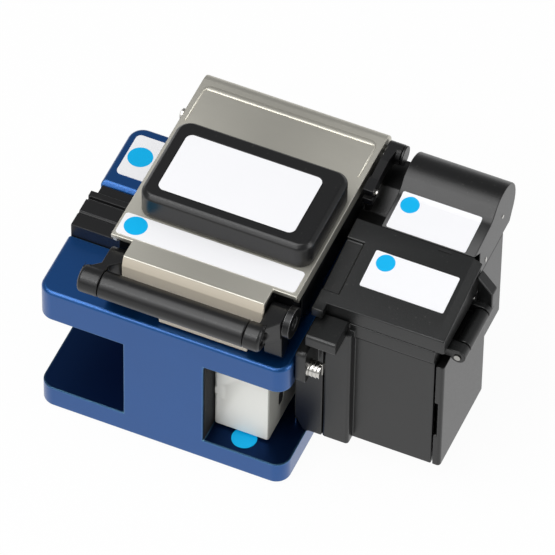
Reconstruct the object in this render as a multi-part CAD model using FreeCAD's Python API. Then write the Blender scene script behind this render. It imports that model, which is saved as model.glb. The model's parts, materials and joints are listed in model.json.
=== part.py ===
import FreeCAD, Part
import math
import os

# Fibre cleaver with an off-cut collector on its right. Millimetres, +X right, +Y back, +Z up.
# Positions are worked out from the base's front left lower corner. save() moves the origin
# to the middle of the rubber pad's underside, which is what the cleaver rests on.

Vec = FreeCAD.Vector

# --- fits ---
running_gap = 0.05      # radial, pin in bush
air_gap = 0.3           # between moving pieces
screw_radius = 1.0      # every small screw's shank
screw_head_height = 1.0
screw_head_radius = 1.8
label_thick = 0.15

# --- base frame: floor plate, web and deck in one milled piece ---
base_width = 60.0
base_depth = 52.6
base_height = 39.0
floor_thick = 6.0
deck_thick_left = 9.2
deck_thick_right = 7.6
web_left = 20.8
right_recess_width = 19.8
rear_wall = 4.1
corner_round = 3.5
edge_break = 0.6
channel_edge_break = 1.0
pad_thick = 1.6
pad_proud = 0.6
pad_margin = 3.0

# --- fibre line, adapter plate and lower clamp ---
adapter_front = 17.1
adapter_depth = 16.7
adapter_end_gap = 2.8
adapter_rise = 3.6
land_depth = 8.2
ridge_depth = 2.7
groove_width = 1.0
rear_land_drop = 4.4
channel_depth = 4.0
side_inset = 0.5
clamp_length = 7.0
pad_height = 0.5

# --- blade and slider ---
blade_from_right = 13.0
blade_radius = 7.5
blade_thick = 0.8
blade_axle_radius = 1.2
blade_start = 13.0
slider_travel = 17.0
slot_width = 6.4
slider_width = 13.1
slider_length = 22.0
slider_front = 5.5
slider_clear = 0.3
slider_headroom = 0.7
slider_above_floor = 0.5
slider_notch_back = 7.1
slider_notch_z = 14.5
rail_neck = 1.3
rail_head = 1.5
rail_neck_height = 2.2
rail_head_height = 4.4
rail_middle = 18.0
cheek_thick = 1.4
carriage_tail = 3.0

# --- arm and its hinge ---
hinge_behind = 4.4
hinge_rise = 14.4
hinge_pin_radius = 1.0
hinge_pin_overhang = 3.2
barrel_radius = 1.75
bush_wall = 0.5
foot_length = 11.0
foot_height = 3.0
cover_left = 14.7
cover_short = 1.1
cover_front = 7.4
cover_rise = 17.6
cover_sheet = 1.2
cover_flange = 3.2
cover_rear_gap = 2.1
tongue_inset_left = 5.1
tongue_inset_right = 5.6
tongue_front = 1.85
tongue_bend = 2.3
tongue_drop = 8.2
tab_inset_left = 8.8
tab_inset_right = 3.6
cheek_width = 4.0
arm_plate = 3.0
arm_clear = 4.4
nose_below_pivot = 4.0
magnet_radius = 2.0
magnet_height = 2.5
knob_inset_left = 2.7
knob_inset_right = 0.7
knob_back = 7.7
knob_from_rear = 13.0
knob_height = 6.7
knob_bevel = 1.0
seat_depth = 0.12
rivet_radius = 1.4

# --- front pull bar ---
bar_y = -2.4
bar_rise = 12.4
bar_radius = 3.1
bar_core_radius = 2.2
bar_overhang_left = 7.7
bar_overhang_right = 2.1
sleeve_inset_left = 4.9
sleeve_inset_right = 3.8
bar_pivot_y = 5.0
bar_pivot_rise = 11.7
bar_pivot_radius = 1.2
bar_arm_width = 4.2
bar_arm_gap = 0.3
bar_boss_radius = 3.2
pivot_disc_radius = 3.6
pivot_disc_thick = 1.6

# --- collector ---
bracket_gap = 3.8
bin_width = 25.2
bin_front = 14.1
bin_from_rear = 13.7
bin_above_floor = 0.8
bin_rise = 7.0
bin_wall = 1.6
rim_height = 4.5
rim_proud = 0.6
column_width = 6.4
column_front = 11.5
shelf_front = 5.5
shelf_overhang = 2.0
shelf_width = 7.2
shelf_thick = 3.5
hood_inset = 3.0
hood_step = 17.5
hood_behind = 0.4
hood_lip_gap = 0.4
hood_lip_rise = 8.0
hood_flat_before_drum = 7.2
hood_flat_climb = 0.9
drum_radius = 7.5
drum_rise = 4.9
shoulder_overhang = 2.9
lid_overhang_left = 2.9
lid_overhang_right = 2.2
lid_rise = 4.4
lid_strip = 2.7
lid_slope = 9.0
lid_sheet = 1.8
lid_skirt = 1.4
lid_rear_overhang = 1.55
lid_pivot_forward = 5.1
lid_pivot_rise = 5.0
lid_pin_radius = 0.6
lid_barrel_radius = 1.25
lid_ear_width = 2.2
lid_recess = 0.7
door_thick = 1.9
door_gap = 0.3
door_pivot_out = 4.3
door_pivot_drop = 2.8
door_pin_radius = 0.75
door_barrel_radius = 1.8
door_barrel_back = 5.7
door_barrel_length = 10.2
lug_length = 3.0
roller_inset = 12.2
roller_back = 4.5
roller_room = 7.3         # behind the rollers, for the gears and the rear plate
roller_radius = 2.9
roller_core_radius = 1.9
roller_shaft_radius = 1.0
gear_teeth = 14
gear_width = 2.0
plate_thick = 1.6
bracket_overlap = 2.8
lug_front = 4.2
lug_thin = 1.2
lug_below_deck = 7.0
lug_above_deck = 3.0
thumb_y = 6.6
thumb_below_deck = 3.4
thumb_radius = 1.8
thumb_length = 2.6
thumb_shank_radius = 1.2
thumb_washer_thick = 0.4
thumb_bite = 5.0
bracket_screw_front = 5.9
bracket_screw_rear = 4.9
bracket_screw_low = 5.2
bracket_screw_high = 19.2
bracket_screw_bite = 2.6
bracket_screw_head_radius = 1.9

# --- adapter screws ---
adapter_screw_left = 4.8
adapter_screw_right = 3.5
adapter_screw_sink = 1.3
adapter_screw_length = 4.0
screw_slot_width = 0.5
screw_slot_foot = 0.55

# --- feed lever ---
lever_gap = 0.5
lever_cap_gap = 0.2
lever_thick = 2.0
lever_hub_radius = 2.4
lever_root_radius = 2.2
lever_elbow_radius = 1.5
lever_elbow_forward = 5.5
lever_elbow_rise = 1.8
lever_tip_radius = 1.4
lever_tip_forward = 11.0
lever_tip_rise = 1.2
fork_side = 0.2
fork_length = 4.0
fork_bottom_drop = 1.6
fork_top_rise = 3.0
fork_web = 1.4
fork_mouth_low = 0.1
fork_mouth_high = 1.7
lever_pin_radius = 0.8
lever_pin_back = 2.2
lever_pin_proud = 0.6
pin_cap_radius = 2.35
pin_cap_proud = 0.5

# --- labels ---
film_corner = 1.0
deck_label_left = 1.9
deck_label_hidden = 2.0
deck_label_depth = 12.4
deck_label_from_rear = 2.5
deck_label_corner = 1.2
dot_radius = 2.9
dot_right = 7.8
dot_back = 4.4
lid_label_left = 4.6
lid_label_right = 1.4
lid_label_from_front = 6.4
lid_label_depth = 9.1
hood_label_left = 0.7
hood_label_right = 2.2
hood_label_edge = 0.4

# --- worked out ---
web_right = base_width - right_recess_width
fibre_y = adapter_front + land_depth / 2
fibre_z = base_height + adapter_rise
blade_x = base_width - blade_from_right
blade_z = fibre_z + 0.05 - blade_radius
slider_left = web_right + slider_clear
slider_right = slider_left + slider_width
slider_bottom = floor_thick + slider_above_floor
slider_top = base_height - deck_thick_right - slider_headroom
left_clamp = blade_x - slot_width / 2 - 0.5 - clamp_length
right_clamp = blade_x + slot_width / 2 + 0.5
adapter_length = left_clamp - adapter_end_gap - side_inset
hinge_y = base_depth + hinge_behind
hinge_z = base_height + hinge_rise
hinge_pin_left = cover_left + cover_sheet
hinge_pin_right = base_width + hinge_pin_overhang
cover_right = base_width - cover_short
cover_top = base_height + cover_rise
cover_under = cover_top - cover_sheet
tongue_left = cover_left + tongue_inset_left
tongue_right = cover_right - tongue_inset_right
tab_left = tongue_left + tab_inset_left
tab_right = tongue_right - tab_inset_right
arm_left = cover_left + cover_sheet + 0.05
arm_right = cover_right - cover_sheet - 0.05
arm_floor = base_height + arm_clear
arm_front = tongue_front + cover_sheet + 0.05
cheek_front = bar_pivot_y + bar_boss_radius + 0.5
block_left = arm_left + cheek_width + air_gap
block_right = arm_right - cheek_width - air_gap
knob_left = cover_left + knob_inset_left
knob_right = cover_right - knob_inset_right
knob_front = cover_front + knob_back
knob_rear = base_depth - knob_from_rear
bar_left = tongue_left - bar_overhang_left
bar_right = tongue_right + bar_overhang_right
bar_z = base_height + bar_rise
bar_pivot_z = base_height + bar_pivot_rise
sleeve_left = bar_left + sleeve_inset_left
sleeve_right = bar_right - sleeve_inset_right
bar_arm_left = tongue_left - bar_arm_gap - bar_arm_width
bar_arm_right = tongue_right + bar_arm_gap
bin_left = base_width + bracket_gap
bin_right = bin_left + bin_width
bin_rear = base_depth - bin_from_rear
bin_bottom = floor_thick + bin_above_floor
bin_top = base_height + bin_rise
column_right = bin_left + column_width
shelf_left = bin_left - shelf_overhang
shelf_top = bin_top + 1.0
hood_left = bin_left + hood_inset
hood_rear = base_depth + hood_behind
hood_lip_z = bin_top + hood_lip_rise
drum_y = base_depth - 0.6
drum_z = bin_top + drum_rise
lid_left = bin_left - lid_overhang_left
lid_right = bin_right + lid_overhang_right
lid_front = bin_front - rim_proud
lid_front_top = bin_top + lid_rise
lid_pivot_y = bin_rear - lid_pivot_forward
lid_pivot_z = bin_top + lid_pivot_rise
lid_rear = lid_pivot_y + lid_rear_overhang
hood_lip_y = lid_rear + hood_lip_gap
hood_flat_end = drum_y - hood_flat_before_drum
door_pivot_x = bin_right + door_pivot_out
door_pivot_z = bin_top - door_pivot_drop
door_outer = bin_right + door_gap + door_thick
door_barrel_front = bin_front + door_barrel_back
roller_x = bin_left + roller_inset
roller_front = bin_front + roller_back
roller_length = bin_rear - roller_front - roller_room
upper_roller_z = fibre_z + roller_radius + 0.15
lower_roller_z = fibre_z - roller_radius - 0.05
gear_front = roller_front + roller_length + 0.4
bracket_left = base_width - bracket_overlap
bracket_right = bin_left
lug_right = bracket_right - lug_thin
lug_bottom = base_height - lug_below_deck
lug_top = base_height + lug_above_deck
thumb_z = base_height - thumb_below_deck

parts = {}
shift = Vec(-base_width / 2, -base_depth / 2, pad_proud)


def save(name, shape):
    shape = shape.copy()
    shape.translate(shift)
    if shape.ShapeType == "Compound" and len(shape.Solids) == 1:
        shape = shape.Solids[0]
    for solid in shape.Solids:
        if not solid.isValid() or solid.Volume <= 0:
            raise ValueError(name + " is not a sound solid")
    shape.exportStep("parts/" + name + ".step")
    parts[name] = shape


def box(x0, x1, y0, y1, z0, z1):
    return Part.makeBox(x1 - x0, y1 - y0, z1 - z0, Vec(x0, y0, z0))


def rod_x(radius, x0, x1, y, z):
    return Part.makeCylinder(radius, x1 - x0, Vec(x0, y, z), Vec(1, 0, 0))


def rod_y(radius, y0, y1, x, z):
    return Part.makeCylinder(radius, y1 - y0, Vec(x, y0, z), Vec(0, 1, 0))


def rod_z(radius, z0, z1, x, y):
    return Part.makeCylinder(radius, z1 - z0, Vec(x, y, z0), Vec(0, 0, 1))


def side_profile(points, x0, x1):
    """A (y, z) outline pushed from x0 to x1."""
    corners = [Vec(x0, y, z) for y, z in points]
    face = Part.Face(Part.makePolygon(corners + corners[:1]))
    return face.extrude(Vec(x1 - x0, 0, 0))


def round_edges(shape, radius, test):
    chosen = [edge for edge in shape.Edges if test(edge)]
    return shape.makeFillet(radius, chosen) if chosen else shape


def break_edges(shape, size, test=lambda edge: True):
    chosen = [edge for edge in shape.Edges if isinstance(edge.Curve, Part.Circle) and test(edge)]
    return shape.makeChamfer(size, chosen)


def along(edge, axis):
    if not isinstance(edge.Curve, Part.Line):
        return False
    direction = edge.tangentAt(edge.FirstParameter)
    return abs(abs(direction.dot(axis)) - 1) < 1e-6


def upright(edge):
    return along(edge, Vec(0, 0, 1))


def crosswise(edge):
    return along(edge, Vec(1, 0, 0))


def rounded_box(x0, x1, y0, y1, z0, z1, radius, axis=Vec(0, 0, 1)):
    return round_edges(box(x0, x1, y0, y1, z0, z1), radius, lambda edge: along(edge, axis))


def link(circle_a, circle_b, x0, x1):
    """A flat lever whose rounded ends are two circles (y, z, radius)."""
    (ya, za, ra), (yb, zb, rb) = circle_a, circle_b
    reach = math.hypot(yb - ya, zb - za)
    heading = math.atan2(zb - za, yb - ya)
    lean = math.acos((ra - rb) / reach)
    corners = []
    for y, z, r, side in ((ya, za, ra, 1), (yb, zb, rb, 1), (yb, zb, rb, -1), (ya, za, ra, -1)):
        angle = heading + side * lean
        corners.append((y + r * math.cos(angle), z + r * math.sin(angle)))
    body = side_profile(corners, x0, x1)
    ends = [rod_x(ra, x0, x1, ya, za), rod_x(rb, x0, x1, yb, zb)]
    return body.fuse(ends).removeSplitter()


def screw_z(x, y, z, depth):
    """A slotted pan head screw driven down at (x, y), its head's underside at z."""
    head = screw_head_radius
    body = rod_z(screw_radius, z - depth, z, x, y).fuse(rod_z(head, z, z + screw_head_height, x, y))
    half_slot = screw_slot_width / 2
    return body.cut(box(x - head, x + head, y - half_slot, y + half_slot, z + screw_slot_foot, z + 2))


def lid_height(y):
    """Height of the lid's sloping top at y."""
    return lid_front_top + (y - lid_front) * math.tan(math.radians(lid_slope))


def hood_height(y):
    """Height of the hood's nearly flat top at y."""
    return hood_lip_z + hood_flat_climb * (y - hood_lip_y) / (hood_flat_end - hood_lip_y)


def sloped_label(x0, x1, y0, y1, height):
    """Film with round corners lying on a sloping top."""
    low = min(height(y0), height(y1))
    high = max(height(y0), height(y1)) + label_thick
    sheet = side_profile([(y0, height(y0)), (y1, height(y1)), (y1, height(y1) + label_thick),
                          (y0, height(y0) + label_thick)], x0, x1)
    return sheet.common(rounded_box(x0, x1, y0, y1, low - 1, high + 1, film_corner))


# ---------------------------------------------------------------- base
def make_base():
    block = box(0, base_width, 0, base_depth, 0, base_height)
    left_top = base_height - deck_thick_left
    right_top = base_height - deck_thick_right
    block = round_edges(block, corner_round, upright)
    block = block.cut(box(-1, web_left, -1, base_depth + 1, floor_thick, left_top))
    right_recess = box(web_right, base_width + 1, -1, base_depth - rear_wall, floor_thick, right_top)
    block = block.cut(right_recess)
    channel = box(-1, adapter_length + side_inset + air_gap, adapter_front - 0.05,
                  adapter_front + adapter_depth + 0.05, base_height - channel_depth, base_height + 1)
    block = block.cut(channel)
    slot_end = blade_start + slider_travel + blade_radius + carriage_tail
    slot = rounded_box(blade_x - slot_width / 2, blade_x + slot_width / 2,
                       blade_start - blade_radius - slider_headroom, slot_end,
                       right_top - 1, base_height + 1, 1.5)
    block = block.cut(slot)
    pocket = box(pad_margin, base_width - pad_margin, pad_margin, base_depth - pad_margin,
                 -1, pad_thick - pad_proud)
    block = block.cut(round_edges(pocket, 2.0, upright))
    for y in rail_screw_rows():
        block = block.cut(rod_x(screw_radius, web_right - 3.2, web_right + 1, y, rail_middle))
    for x, y in hinge_screw_spots():
        block = block.cut(rod_z(screw_radius, base_height - 5, base_height + 1, x, y))
    for x, y in adapter_screw_spots():
        block = block.cut(rod_z(screw_radius, base_height - channel_depth - 3, base_height, x, y))
    block = block.cut(rod_x(thumb_shank_radius, base_width - thumb_bite, base_width + 1, thumb_y, thumb_z))
    block = block.cut(rod_z(magnet_radius + 0.05, base_height - 2.0, base_height + 1, *catch_spot()))
    front_rim = [edge for edge in block.Edges
                 if edge.BoundBox.ZMin > base_height - 0.01 and edge.BoundBox.YMax < corner_round + 0.01
                 and edge.BoundBox.YMin < corner_round - 0.1]
    block = block.makeChamfer(edge_break, front_rim)
    channel_rear = adapter_front + adapter_depth + 0.05
    rear_rim = [edge for edge in block.Edges if crosswise(edge) and edge.BoundBox.ZMin > base_height - 0.01
                and abs(edge.BoundBox.YMin - channel_rear) < 0.01]
    block = block.makeChamfer(channel_edge_break, rear_rim)
    save("base_frame", block)
    pad = box(pad_margin, base_width - pad_margin, pad_margin, base_depth - pad_margin,
              -pad_proud, pad_thick - pad_proud)
    save("base_pad", round_edges(pad, 2.0, upright))


def rail_screw_rows():
    front = slider_front + 4.5
    rear = base_depth - rear_wall - 10.5
    return (front, (front + rear) / 2, rear)


def hinge_screw_spots():
    spread = (block_right - block_left) / 2 - 4.0
    middle = (block_right + block_left) / 2
    row = base_depth - foot_length * 0.6
    return [(middle - spread, row), (middle + spread, row)]


def adapter_screw_spots():
    rear = adapter_front + adapter_depth - (adapter_depth - land_depth - ridge_depth) / 2
    right = side_inset + adapter_length - adapter_screw_right
    return [(cover_left + adapter_screw_left, rear), (right, rear)]


def catch_spot():
    return (tongue_left + 4.2, arm_front + 4.0)


# ---------------------------------------------------------------- adapter plate and clamp
def make_adapter():
    x0 = side_inset
    x1 = side_inset + adapter_length
    floor = base_height - channel_depth
    top = base_height + adapter_rise
    rear = adapter_front + adapter_depth
    ridge_rear = adapter_front + land_depth + ridge_depth
    head_seat = top - rear_land_drop - adapter_screw_sink
    outline = [(adapter_front, floor), (rear, floor), (rear, top - rear_land_drop),
               (ridge_rear, top - rear_land_drop), (ridge_rear, top), (adapter_front, top)]
    plate = side_profile(outline, x0, x1)
    groove_front = adapter_front + land_depth
    plate = plate.cut(box(x0 - 1, x1 + 1, groove_front, groove_front + groove_width, top - 1.0, top + 1))
    fibre_groove = Part.makeCylinder(0.45, adapter_length + 2, Vec(x0 - 1, fibre_y, top + 0.1), Vec(1, 0, 0))
    plate = plate.cut(fibre_groove)
    for x, y in adapter_screw_spots():
        plate = plate.cut(rod_z(screw_radius, floor - 1, top, x, y))
        plate = plate.cut(rod_z(screw_head_radius + 0.2, head_seat, top, x, y))
    save("adapter_plate", plate)
    screws = [screw_z(x, y, head_seat, adapter_screw_length) for x, y in adapter_screw_spots()]
    save("adapter_screws", Part.makeCompound(screws))


def make_lower_clamp():
    y0 = fibre_y - land_depth / 2
    y1 = fibre_y + land_depth / 2
    blocks = []
    pads = []
    for x0 in (left_clamp, right_clamp):
        x1 = x0 + clamp_length
        block = box(x0, x1, y0, y1, base_height, fibre_z)
        seat = box(x0 + 0.8, x1 - 0.8, y0 + 0.8, y1 - 0.8, fibre_z - pad_height, fibre_z + 1)
        block = round_edges(block, 0.8, upright).cut(seat)
        blocks.append(block)
        pads.append(box(x0 + 0.8, x1 - 0.8, y0 + 0.8, y1 - 0.8, fibre_z - pad_height, fibre_z))
    save("lower_clamp_left", blocks[0])
    save("lower_clamp_right", blocks[1])
    save("lower_clamp_pads", Part.makeCompound(pads))


# ---------------------------------------------------------------- rail, slider, blade
def rail_section(grow):
    """The T of the rail seen along Y; grow widens it into the slider's groove."""
    neck = rail_neck_height / 2 + grow
    head = rail_head_height / 2 + grow
    neck_end = web_right + rail_neck - grow
    head_end = web_right + rail_neck + rail_head + grow
    return neck, head, neck_end, head_end


def make_rail():
    neck, head, neck_end, head_end = rail_section(0)
    y0 = slider_front + 1.0
    y1 = base_depth - rear_wall - 1.0
    rail = box(web_right, neck_end, y0, y1, rail_middle - neck, rail_middle + neck)
    rail = rail.fuse(box(neck_end, head_end, y0, y1, rail_middle - head, rail_middle + head))
    rail = rail.removeSplitter()
    screws = []
    seat = head_end - 1.1
    for y in rail_screw_rows():
        rail = rail.cut(rod_x(screw_radius, web_right - 1, head_end + 1, y, rail_middle))
        rail = rail.cut(rod_x(screw_head_radius, seat, head_end + 1, y, rail_middle))
        shank = rod_x(screw_radius, web_right - 3.0, seat, y, rail_middle)
        screws.append(shank.fuse(rod_x(screw_head_radius - 0.05, seat, head_end - 0.1, y, rail_middle)))
    save("slide_rail", rail)
    save("rail_screws", Part.makeCompound(screws))


def make_slider():
    rear = slider_front + slider_length
    body = box(slider_left, slider_right, slider_front, rear, slider_bottom, slider_top)
    body = round_edges(body, 0.6, upright)
    neck, head, neck_end, head_end = rail_section(0.08)
    body = body.cut(box(slider_left - 1, head_end, slider_front - 1, rear + 1,
                        rail_middle - neck, rail_middle + neck))
    body = body.cut(box(neck_end, head_end, slider_front - 1, rear + 1,
                        rail_middle - head, rail_middle + head))
    body = body.cut(rod_x(blade_radius + 0.5, blade_x - 1.1, blade_x + 1.1, blade_start, blade_z))
    notch_y = slider_front + slider_notch_back
    notch = link((notch_y, slider_notch_z - 1.3, 1.31), (notch_y, slider_notch_z + 1.3, 1.3),
                 slider_right - 1.5, slider_right + 1)
    body = body.cut(notch)
    save("slider_block", body)
    outer = slot_width / 2 - 0.6
    cheeks = []
    for x0 in (blade_x - outer, blade_x + outer - cheek_thick):
        foot_circle = (blade_start, slider_top - 1.2, 3.4)
        profile = link((blade_start, blade_z, 2.4), foot_circle, x0, x0 + cheek_thick)
        profile = profile.common(box(x0 - 1, x0 + 3, 0, base_depth, slider_top, base_height + 9))
        cheeks.append(profile)
    tail = blade_start + blade_radius + carriage_tail - 0.5
    foot = box(blade_x - outer, blade_x + outer, blade_start + 2.0, tail,
               slider_top, slider_top + cheek_thick)
    foot = foot.cut(box(blade_x - outer + cheek_thick, blade_x + outer - cheek_thick, blade_start + 1.0,
                        blade_start + blade_radius + 0.2, slider_top - 1, slider_top + 9))
    carriage = cheeks[0].fuse([cheeks[1], foot]).removeSplitter()
    carriage = carriage.cut(rod_x(blade_axle_radius, blade_x - 9, blade_x + 9, blade_start, blade_z))
    save("blade_carriage", carriage)
    axle = rod_x(blade_axle_radius, blade_x - outer, blade_x + outer, blade_start, blade_z)
    save("blade_axle", axle)
    hub = rod_x(2.6, blade_x - 0.9, blade_x + 0.9, blade_start, blade_z)
    disc = rod_x(blade_radius - 0.9, blade_x - blade_thick / 2, blade_x + blade_thick / 2,
                 blade_start, blade_z)
    cone_a = Part.makeCone(blade_radius - 0.9, blade_radius - 0.9 + 0.9, blade_thick / 2 - 0.03,
                           Vec(blade_x - blade_thick / 2, blade_start, blade_z), Vec(1, 0, 0))
    cone_b = Part.makeCone(blade_radius - 0.9, blade_radius, blade_thick / 2 - 0.03,
                           Vec(blade_x + blade_thick / 2, blade_start, blade_z), Vec(-1, 0, 0))
    edge = rod_x(blade_radius, blade_x - 0.03, blade_x + 0.03, blade_start, blade_z)
    wheel = disc.fuse([cone_a, cone_b, edge, hub]).removeSplitter()
    for k in range(4):
        angle = math.pi * k / 2
        y = blade_start + 4.4 * math.cos(angle)
        z = blade_z + 4.4 * math.sin(angle)
        wheel = wheel.cut(rod_x(0.7, blade_x - 2, blade_x + 2, y, z))
    bore = rod_x(blade_axle_radius + running_gap, blade_x - 9, blade_x + 9, blade_start, blade_z)
    save("blade_wheel", wheel.cut(bore))


# ---------------------------------------------------------------- arm hinge
def make_hinge():
    foot_front = base_depth - foot_length
    foot_top = base_height + foot_height
    outline = [(foot_front, base_height), (base_depth, base_height), (base_depth, foot_top + 1.0),
               (hinge_y + 0.2, hinge_z - barrel_radius + 0.2), (hinge_y, hinge_z),
               (hinge_y - barrel_radius, hinge_z), (hinge_y - barrel_radius - 4.5, foot_top),
               (foot_front, foot_top)]
    block = side_profile(outline, block_left, block_right)
    block = block.fuse(rod_x(barrel_radius, block_left, block_right, hinge_y, hinge_z)).removeSplitter()
    block = block.cut(rod_x(hinge_pin_radius, block_left - 1, block_right + 1, hinge_y, hinge_z))
    for x, y in hinge_screw_spots():
        block = block.cut(rod_z(screw_radius, base_height - 1, foot_top + 1, x, y))
    save("hinge_block", block)
    screws = [screw_z(x, y, foot_top, foot_height + 4.5) for x, y in hinge_screw_spots()]
    save("hinge_screws", Part.makeCompound(screws))
    pin = rod_x(hinge_pin_radius, hinge_pin_left, hinge_pin_right, hinge_y, hinge_z)
    save("hinge_pin", pin)


# ---------------------------------------------------------------- arm
def arm_outline(rear_radius):
    """Side outline of the arm, (y, z), with its rear end left square for the hinge's round."""
    return [(cheek_front, arm_floor), (hinge_y, hinge_z - rear_radius),
            (hinge_y, cover_under), (cheek_front, cover_under)]


def make_arm():
    cheek_round = cover_under - hinge_z
    cheeks = []
    for x0 in (arm_left, arm_right - cheek_width):
        x1 = x0 + cheek_width
        cheek = side_profile(arm_outline(cheek_round), x0, x1)
        cheek = cheek.fuse(rod_x(cheek_round, x0, x1, hinge_y, hinge_z)).removeSplitter()
        cheeks.append(cheek)
    top = box(arm_left, arm_right, cheek_front, hinge_y - barrel_radius - air_gap - 1.5,
              cover_under - arm_plate, cover_under)
    nose_left = tongue_left + 0.1
    nose_right = tongue_right - 0.1
    nose_bottom = bar_pivot_z - nose_below_pivot
    nose = box(nose_left, nose_right, arm_front, cheek_front + 1.5, nose_bottom, cover_under)
    nose = round_edges(nose, 1.0, lambda edge: crosswise(edge) and edge.BoundBox.ZMax < nose_bottom + 0.1)
    brow = [edge for edge in nose.Edges if crosswise(edge) and edge.BoundBox.ZMin > cover_under - 0.01
            and edge.BoundBox.YMax < arm_front + 0.01]
    nose = nose.makeChamfer(tongue_bend * 0.75, brow)
    body = cheeks[0].fuse([cheeks[1], top, nose])
    for x0 in (left_clamp, right_clamp):
        holder = box(x0 + 0.6, x0 + clamp_length - 0.6, fibre_y - 3.4, fibre_y + 3.4,
                     fibre_z + 2.0, cover_under - arm_plate + 0.5)
        body = body.fuse(holder)
    body = body.removeSplitter()
    for x0 in (left_clamp, right_clamp):
        body = body.cut(box(x0, x0 + clamp_length, fibre_y - 3.4, fibre_y + 3.4, base_height, fibre_z + 2.0))
    body = body.cut(rod_x(hinge_pin_radius + running_gap + bush_wall, arm_left - 1, arm_right + 1,
                          hinge_y, hinge_z))
    body = body.cut(rod_x(bar_pivot_radius, nose_left - 1, nose_right + 1, bar_pivot_y, bar_pivot_z))
    body = body.cut(rod_z(magnet_radius, 0, nose_bottom + magnet_height, *catch_spot()))
    anvil_left = blade_x - 2.4
    anvil_right = blade_x + 2.4
    body = body.cut(box(anvil_left, anvil_right, fibre_y - 1.5, fibre_y + 1.5,
                        cover_under - arm_plate - 1, cover_under - arm_plate + 1.6))
    save("arm_body", body)

    bushes = []
    for x0 in (arm_left, arm_right - cheek_width):
        ring = rod_x(hinge_pin_radius + running_gap + bush_wall, x0, x0 + cheek_width, hinge_y, hinge_z)
        hole = rod_x(hinge_pin_radius + running_gap, x0 - 1, x0 + cheek_width + 1, hinge_y, hinge_z)
        bushes.append(ring.cut(hole))
    save("hinge_bushes", Part.makeCompound(bushes))

    pads = []
    for x0 in (left_clamp, right_clamp):
        pads.append(rounded_box(x0 + 0.8, x0 + clamp_length - 0.8, fibre_y - 3.2, fibre_y + 3.2,
                                fibre_z + 0.2, fibre_z + 2.0, 0.6))
    save("upper_clamp_pads", Part.makeCompound(pads))
    anvil = box(anvil_left, anvil_right, fibre_y - 1.5, fibre_y + 1.5, fibre_z + 2.2,
                cover_under - arm_plate + 1.6)
    nose_edge = round_edges(anvil, 1.4, lambda edge: crosswise(edge)
                            and edge.BoundBox.ZMax < fibre_z + 2.3)
    save("anvil", nose_edge)

    x, y = catch_spot()
    save("arm_catch_magnet", rod_z(magnet_radius, base_height + 0.6, nose_bottom + magnet_height, x, y))
    save("deck_catch_plate", rod_z(magnet_radius + 0.05, base_height - 2.0, base_height + 0.3, x, y))


def make_cover():
    """Bent sheet over the arm: flat top, short side flanges, a round rear and a narrow tongue."""
    rear = hinge_y + cover_rear_gap + cover_sheet
    rear_round = cover_rear_gap + cover_sheet
    flange_bottom = cover_top - cover_flange
    outer = box(cover_left, cover_right, cover_front, rear, hinge_z - 0.5, cover_top)
    outer = round_edges(outer, rear_round, lambda edge: crosswise(edge)
                        and edge.BoundBox.YMin > rear - 0.1 and edge.BoundBox.ZMax > cover_top - 0.1)
    inner = box(cover_left + cover_sheet, cover_right - cover_sheet, cover_front - 1,
                rear - cover_sheet, 0, cover_under)
    inner = round_edges(inner, cover_rear_gap - 0.1, lambda edge: crosswise(edge)
                        and edge.BoundBox.YMin > rear - cover_sheet - 0.1
                        and edge.BoundBox.ZMax > cover_under - 0.1)
    shell = outer.cut(inner)
    shell = shell.cut(box(0, base_width + 9, cover_front - 1, hinge_y - 4.0, 0, flange_bottom))
    shell = shell.cut(box(0, base_width + 9, cover_front - 1, cheek_front - 0.2, 0, cover_under))
    inside = tongue_front + cover_sheet
    folded = [(cover_front + 0.5, cover_top), (tongue_front + tongue_bend, cover_top),
              (tongue_front, cover_top - tongue_bend), (tongue_front, cover_top - tongue_drop),
              (inside, cover_top - tongue_drop), (inside, cover_under - tongue_bend * 0.7),
              (inside + tongue_bend * 0.7, cover_under), (cover_front + 0.5, cover_under)]
    tongue = side_profile(folded, tongue_left, tongue_right)
    tongue = tongue.fuse(box(tab_left, tab_right, tongue_front, tongue_front + cover_sheet,
                             base_height + 0.5, cover_top - tongue_drop + 0.5)).removeSplitter()
    shell = shell.fuse(tongue).removeSplitter()
    shell = shell.cut(rod_x(hinge_pin_radius + air_gap, cover_right - 2, cover_right + 1, hinge_y, hinge_z))
    shell = shell.cut(box(cover_right - 2, cover_right + 1, hinge_y - hinge_pin_radius - air_gap,
                          hinge_y + hinge_pin_radius + air_gap, 0, hinge_z))
    save("arm_cover", shell)


def make_knob():
    z0 = cover_top
    knob = box(knob_left, knob_right, knob_front, knob_rear, z0, z0 + knob_height)
    knob = round_edges(knob, 3.4, upright)
    top = z0 + knob_height
    knob = knob.makeChamfer(knob_bevel, [edge for edge in knob.Edges if edge.BoundBox.ZMin > top - 0.01])
    x0 = knob_left + 3.3
    x1 = knob_right - 5.0
    y0 = knob_front + 3.2
    y1 = knob_rear - 4.1
    seat = rounded_box(x0, x1, y0, y1, top - seat_depth, top + 1, 1.6)
    save("knob", knob.cut(seat))
    save("knob_label", rounded_box(x0, x1, y0, y1, top - seat_depth, top - seat_depth + label_thick, 1.6))
    strip = rounded_box(cover_left + 0.6, cover_right - 0.9, cover_front + 0.8, knob_front - 0.6,
                        z0, z0 + label_thick, 0.8)
    save("cover_label", strip)
    rivet = rod_x(rivet_radius, cover_left - 0.8, cover_left, hinge_y - 10.2, cover_top - rivet_radius - 0.1)
    save("cover_rivet", break_edges(rivet, 0.3, lambda edge: edge.BoundBox.XMax < cover_left - 0.7))


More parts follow.
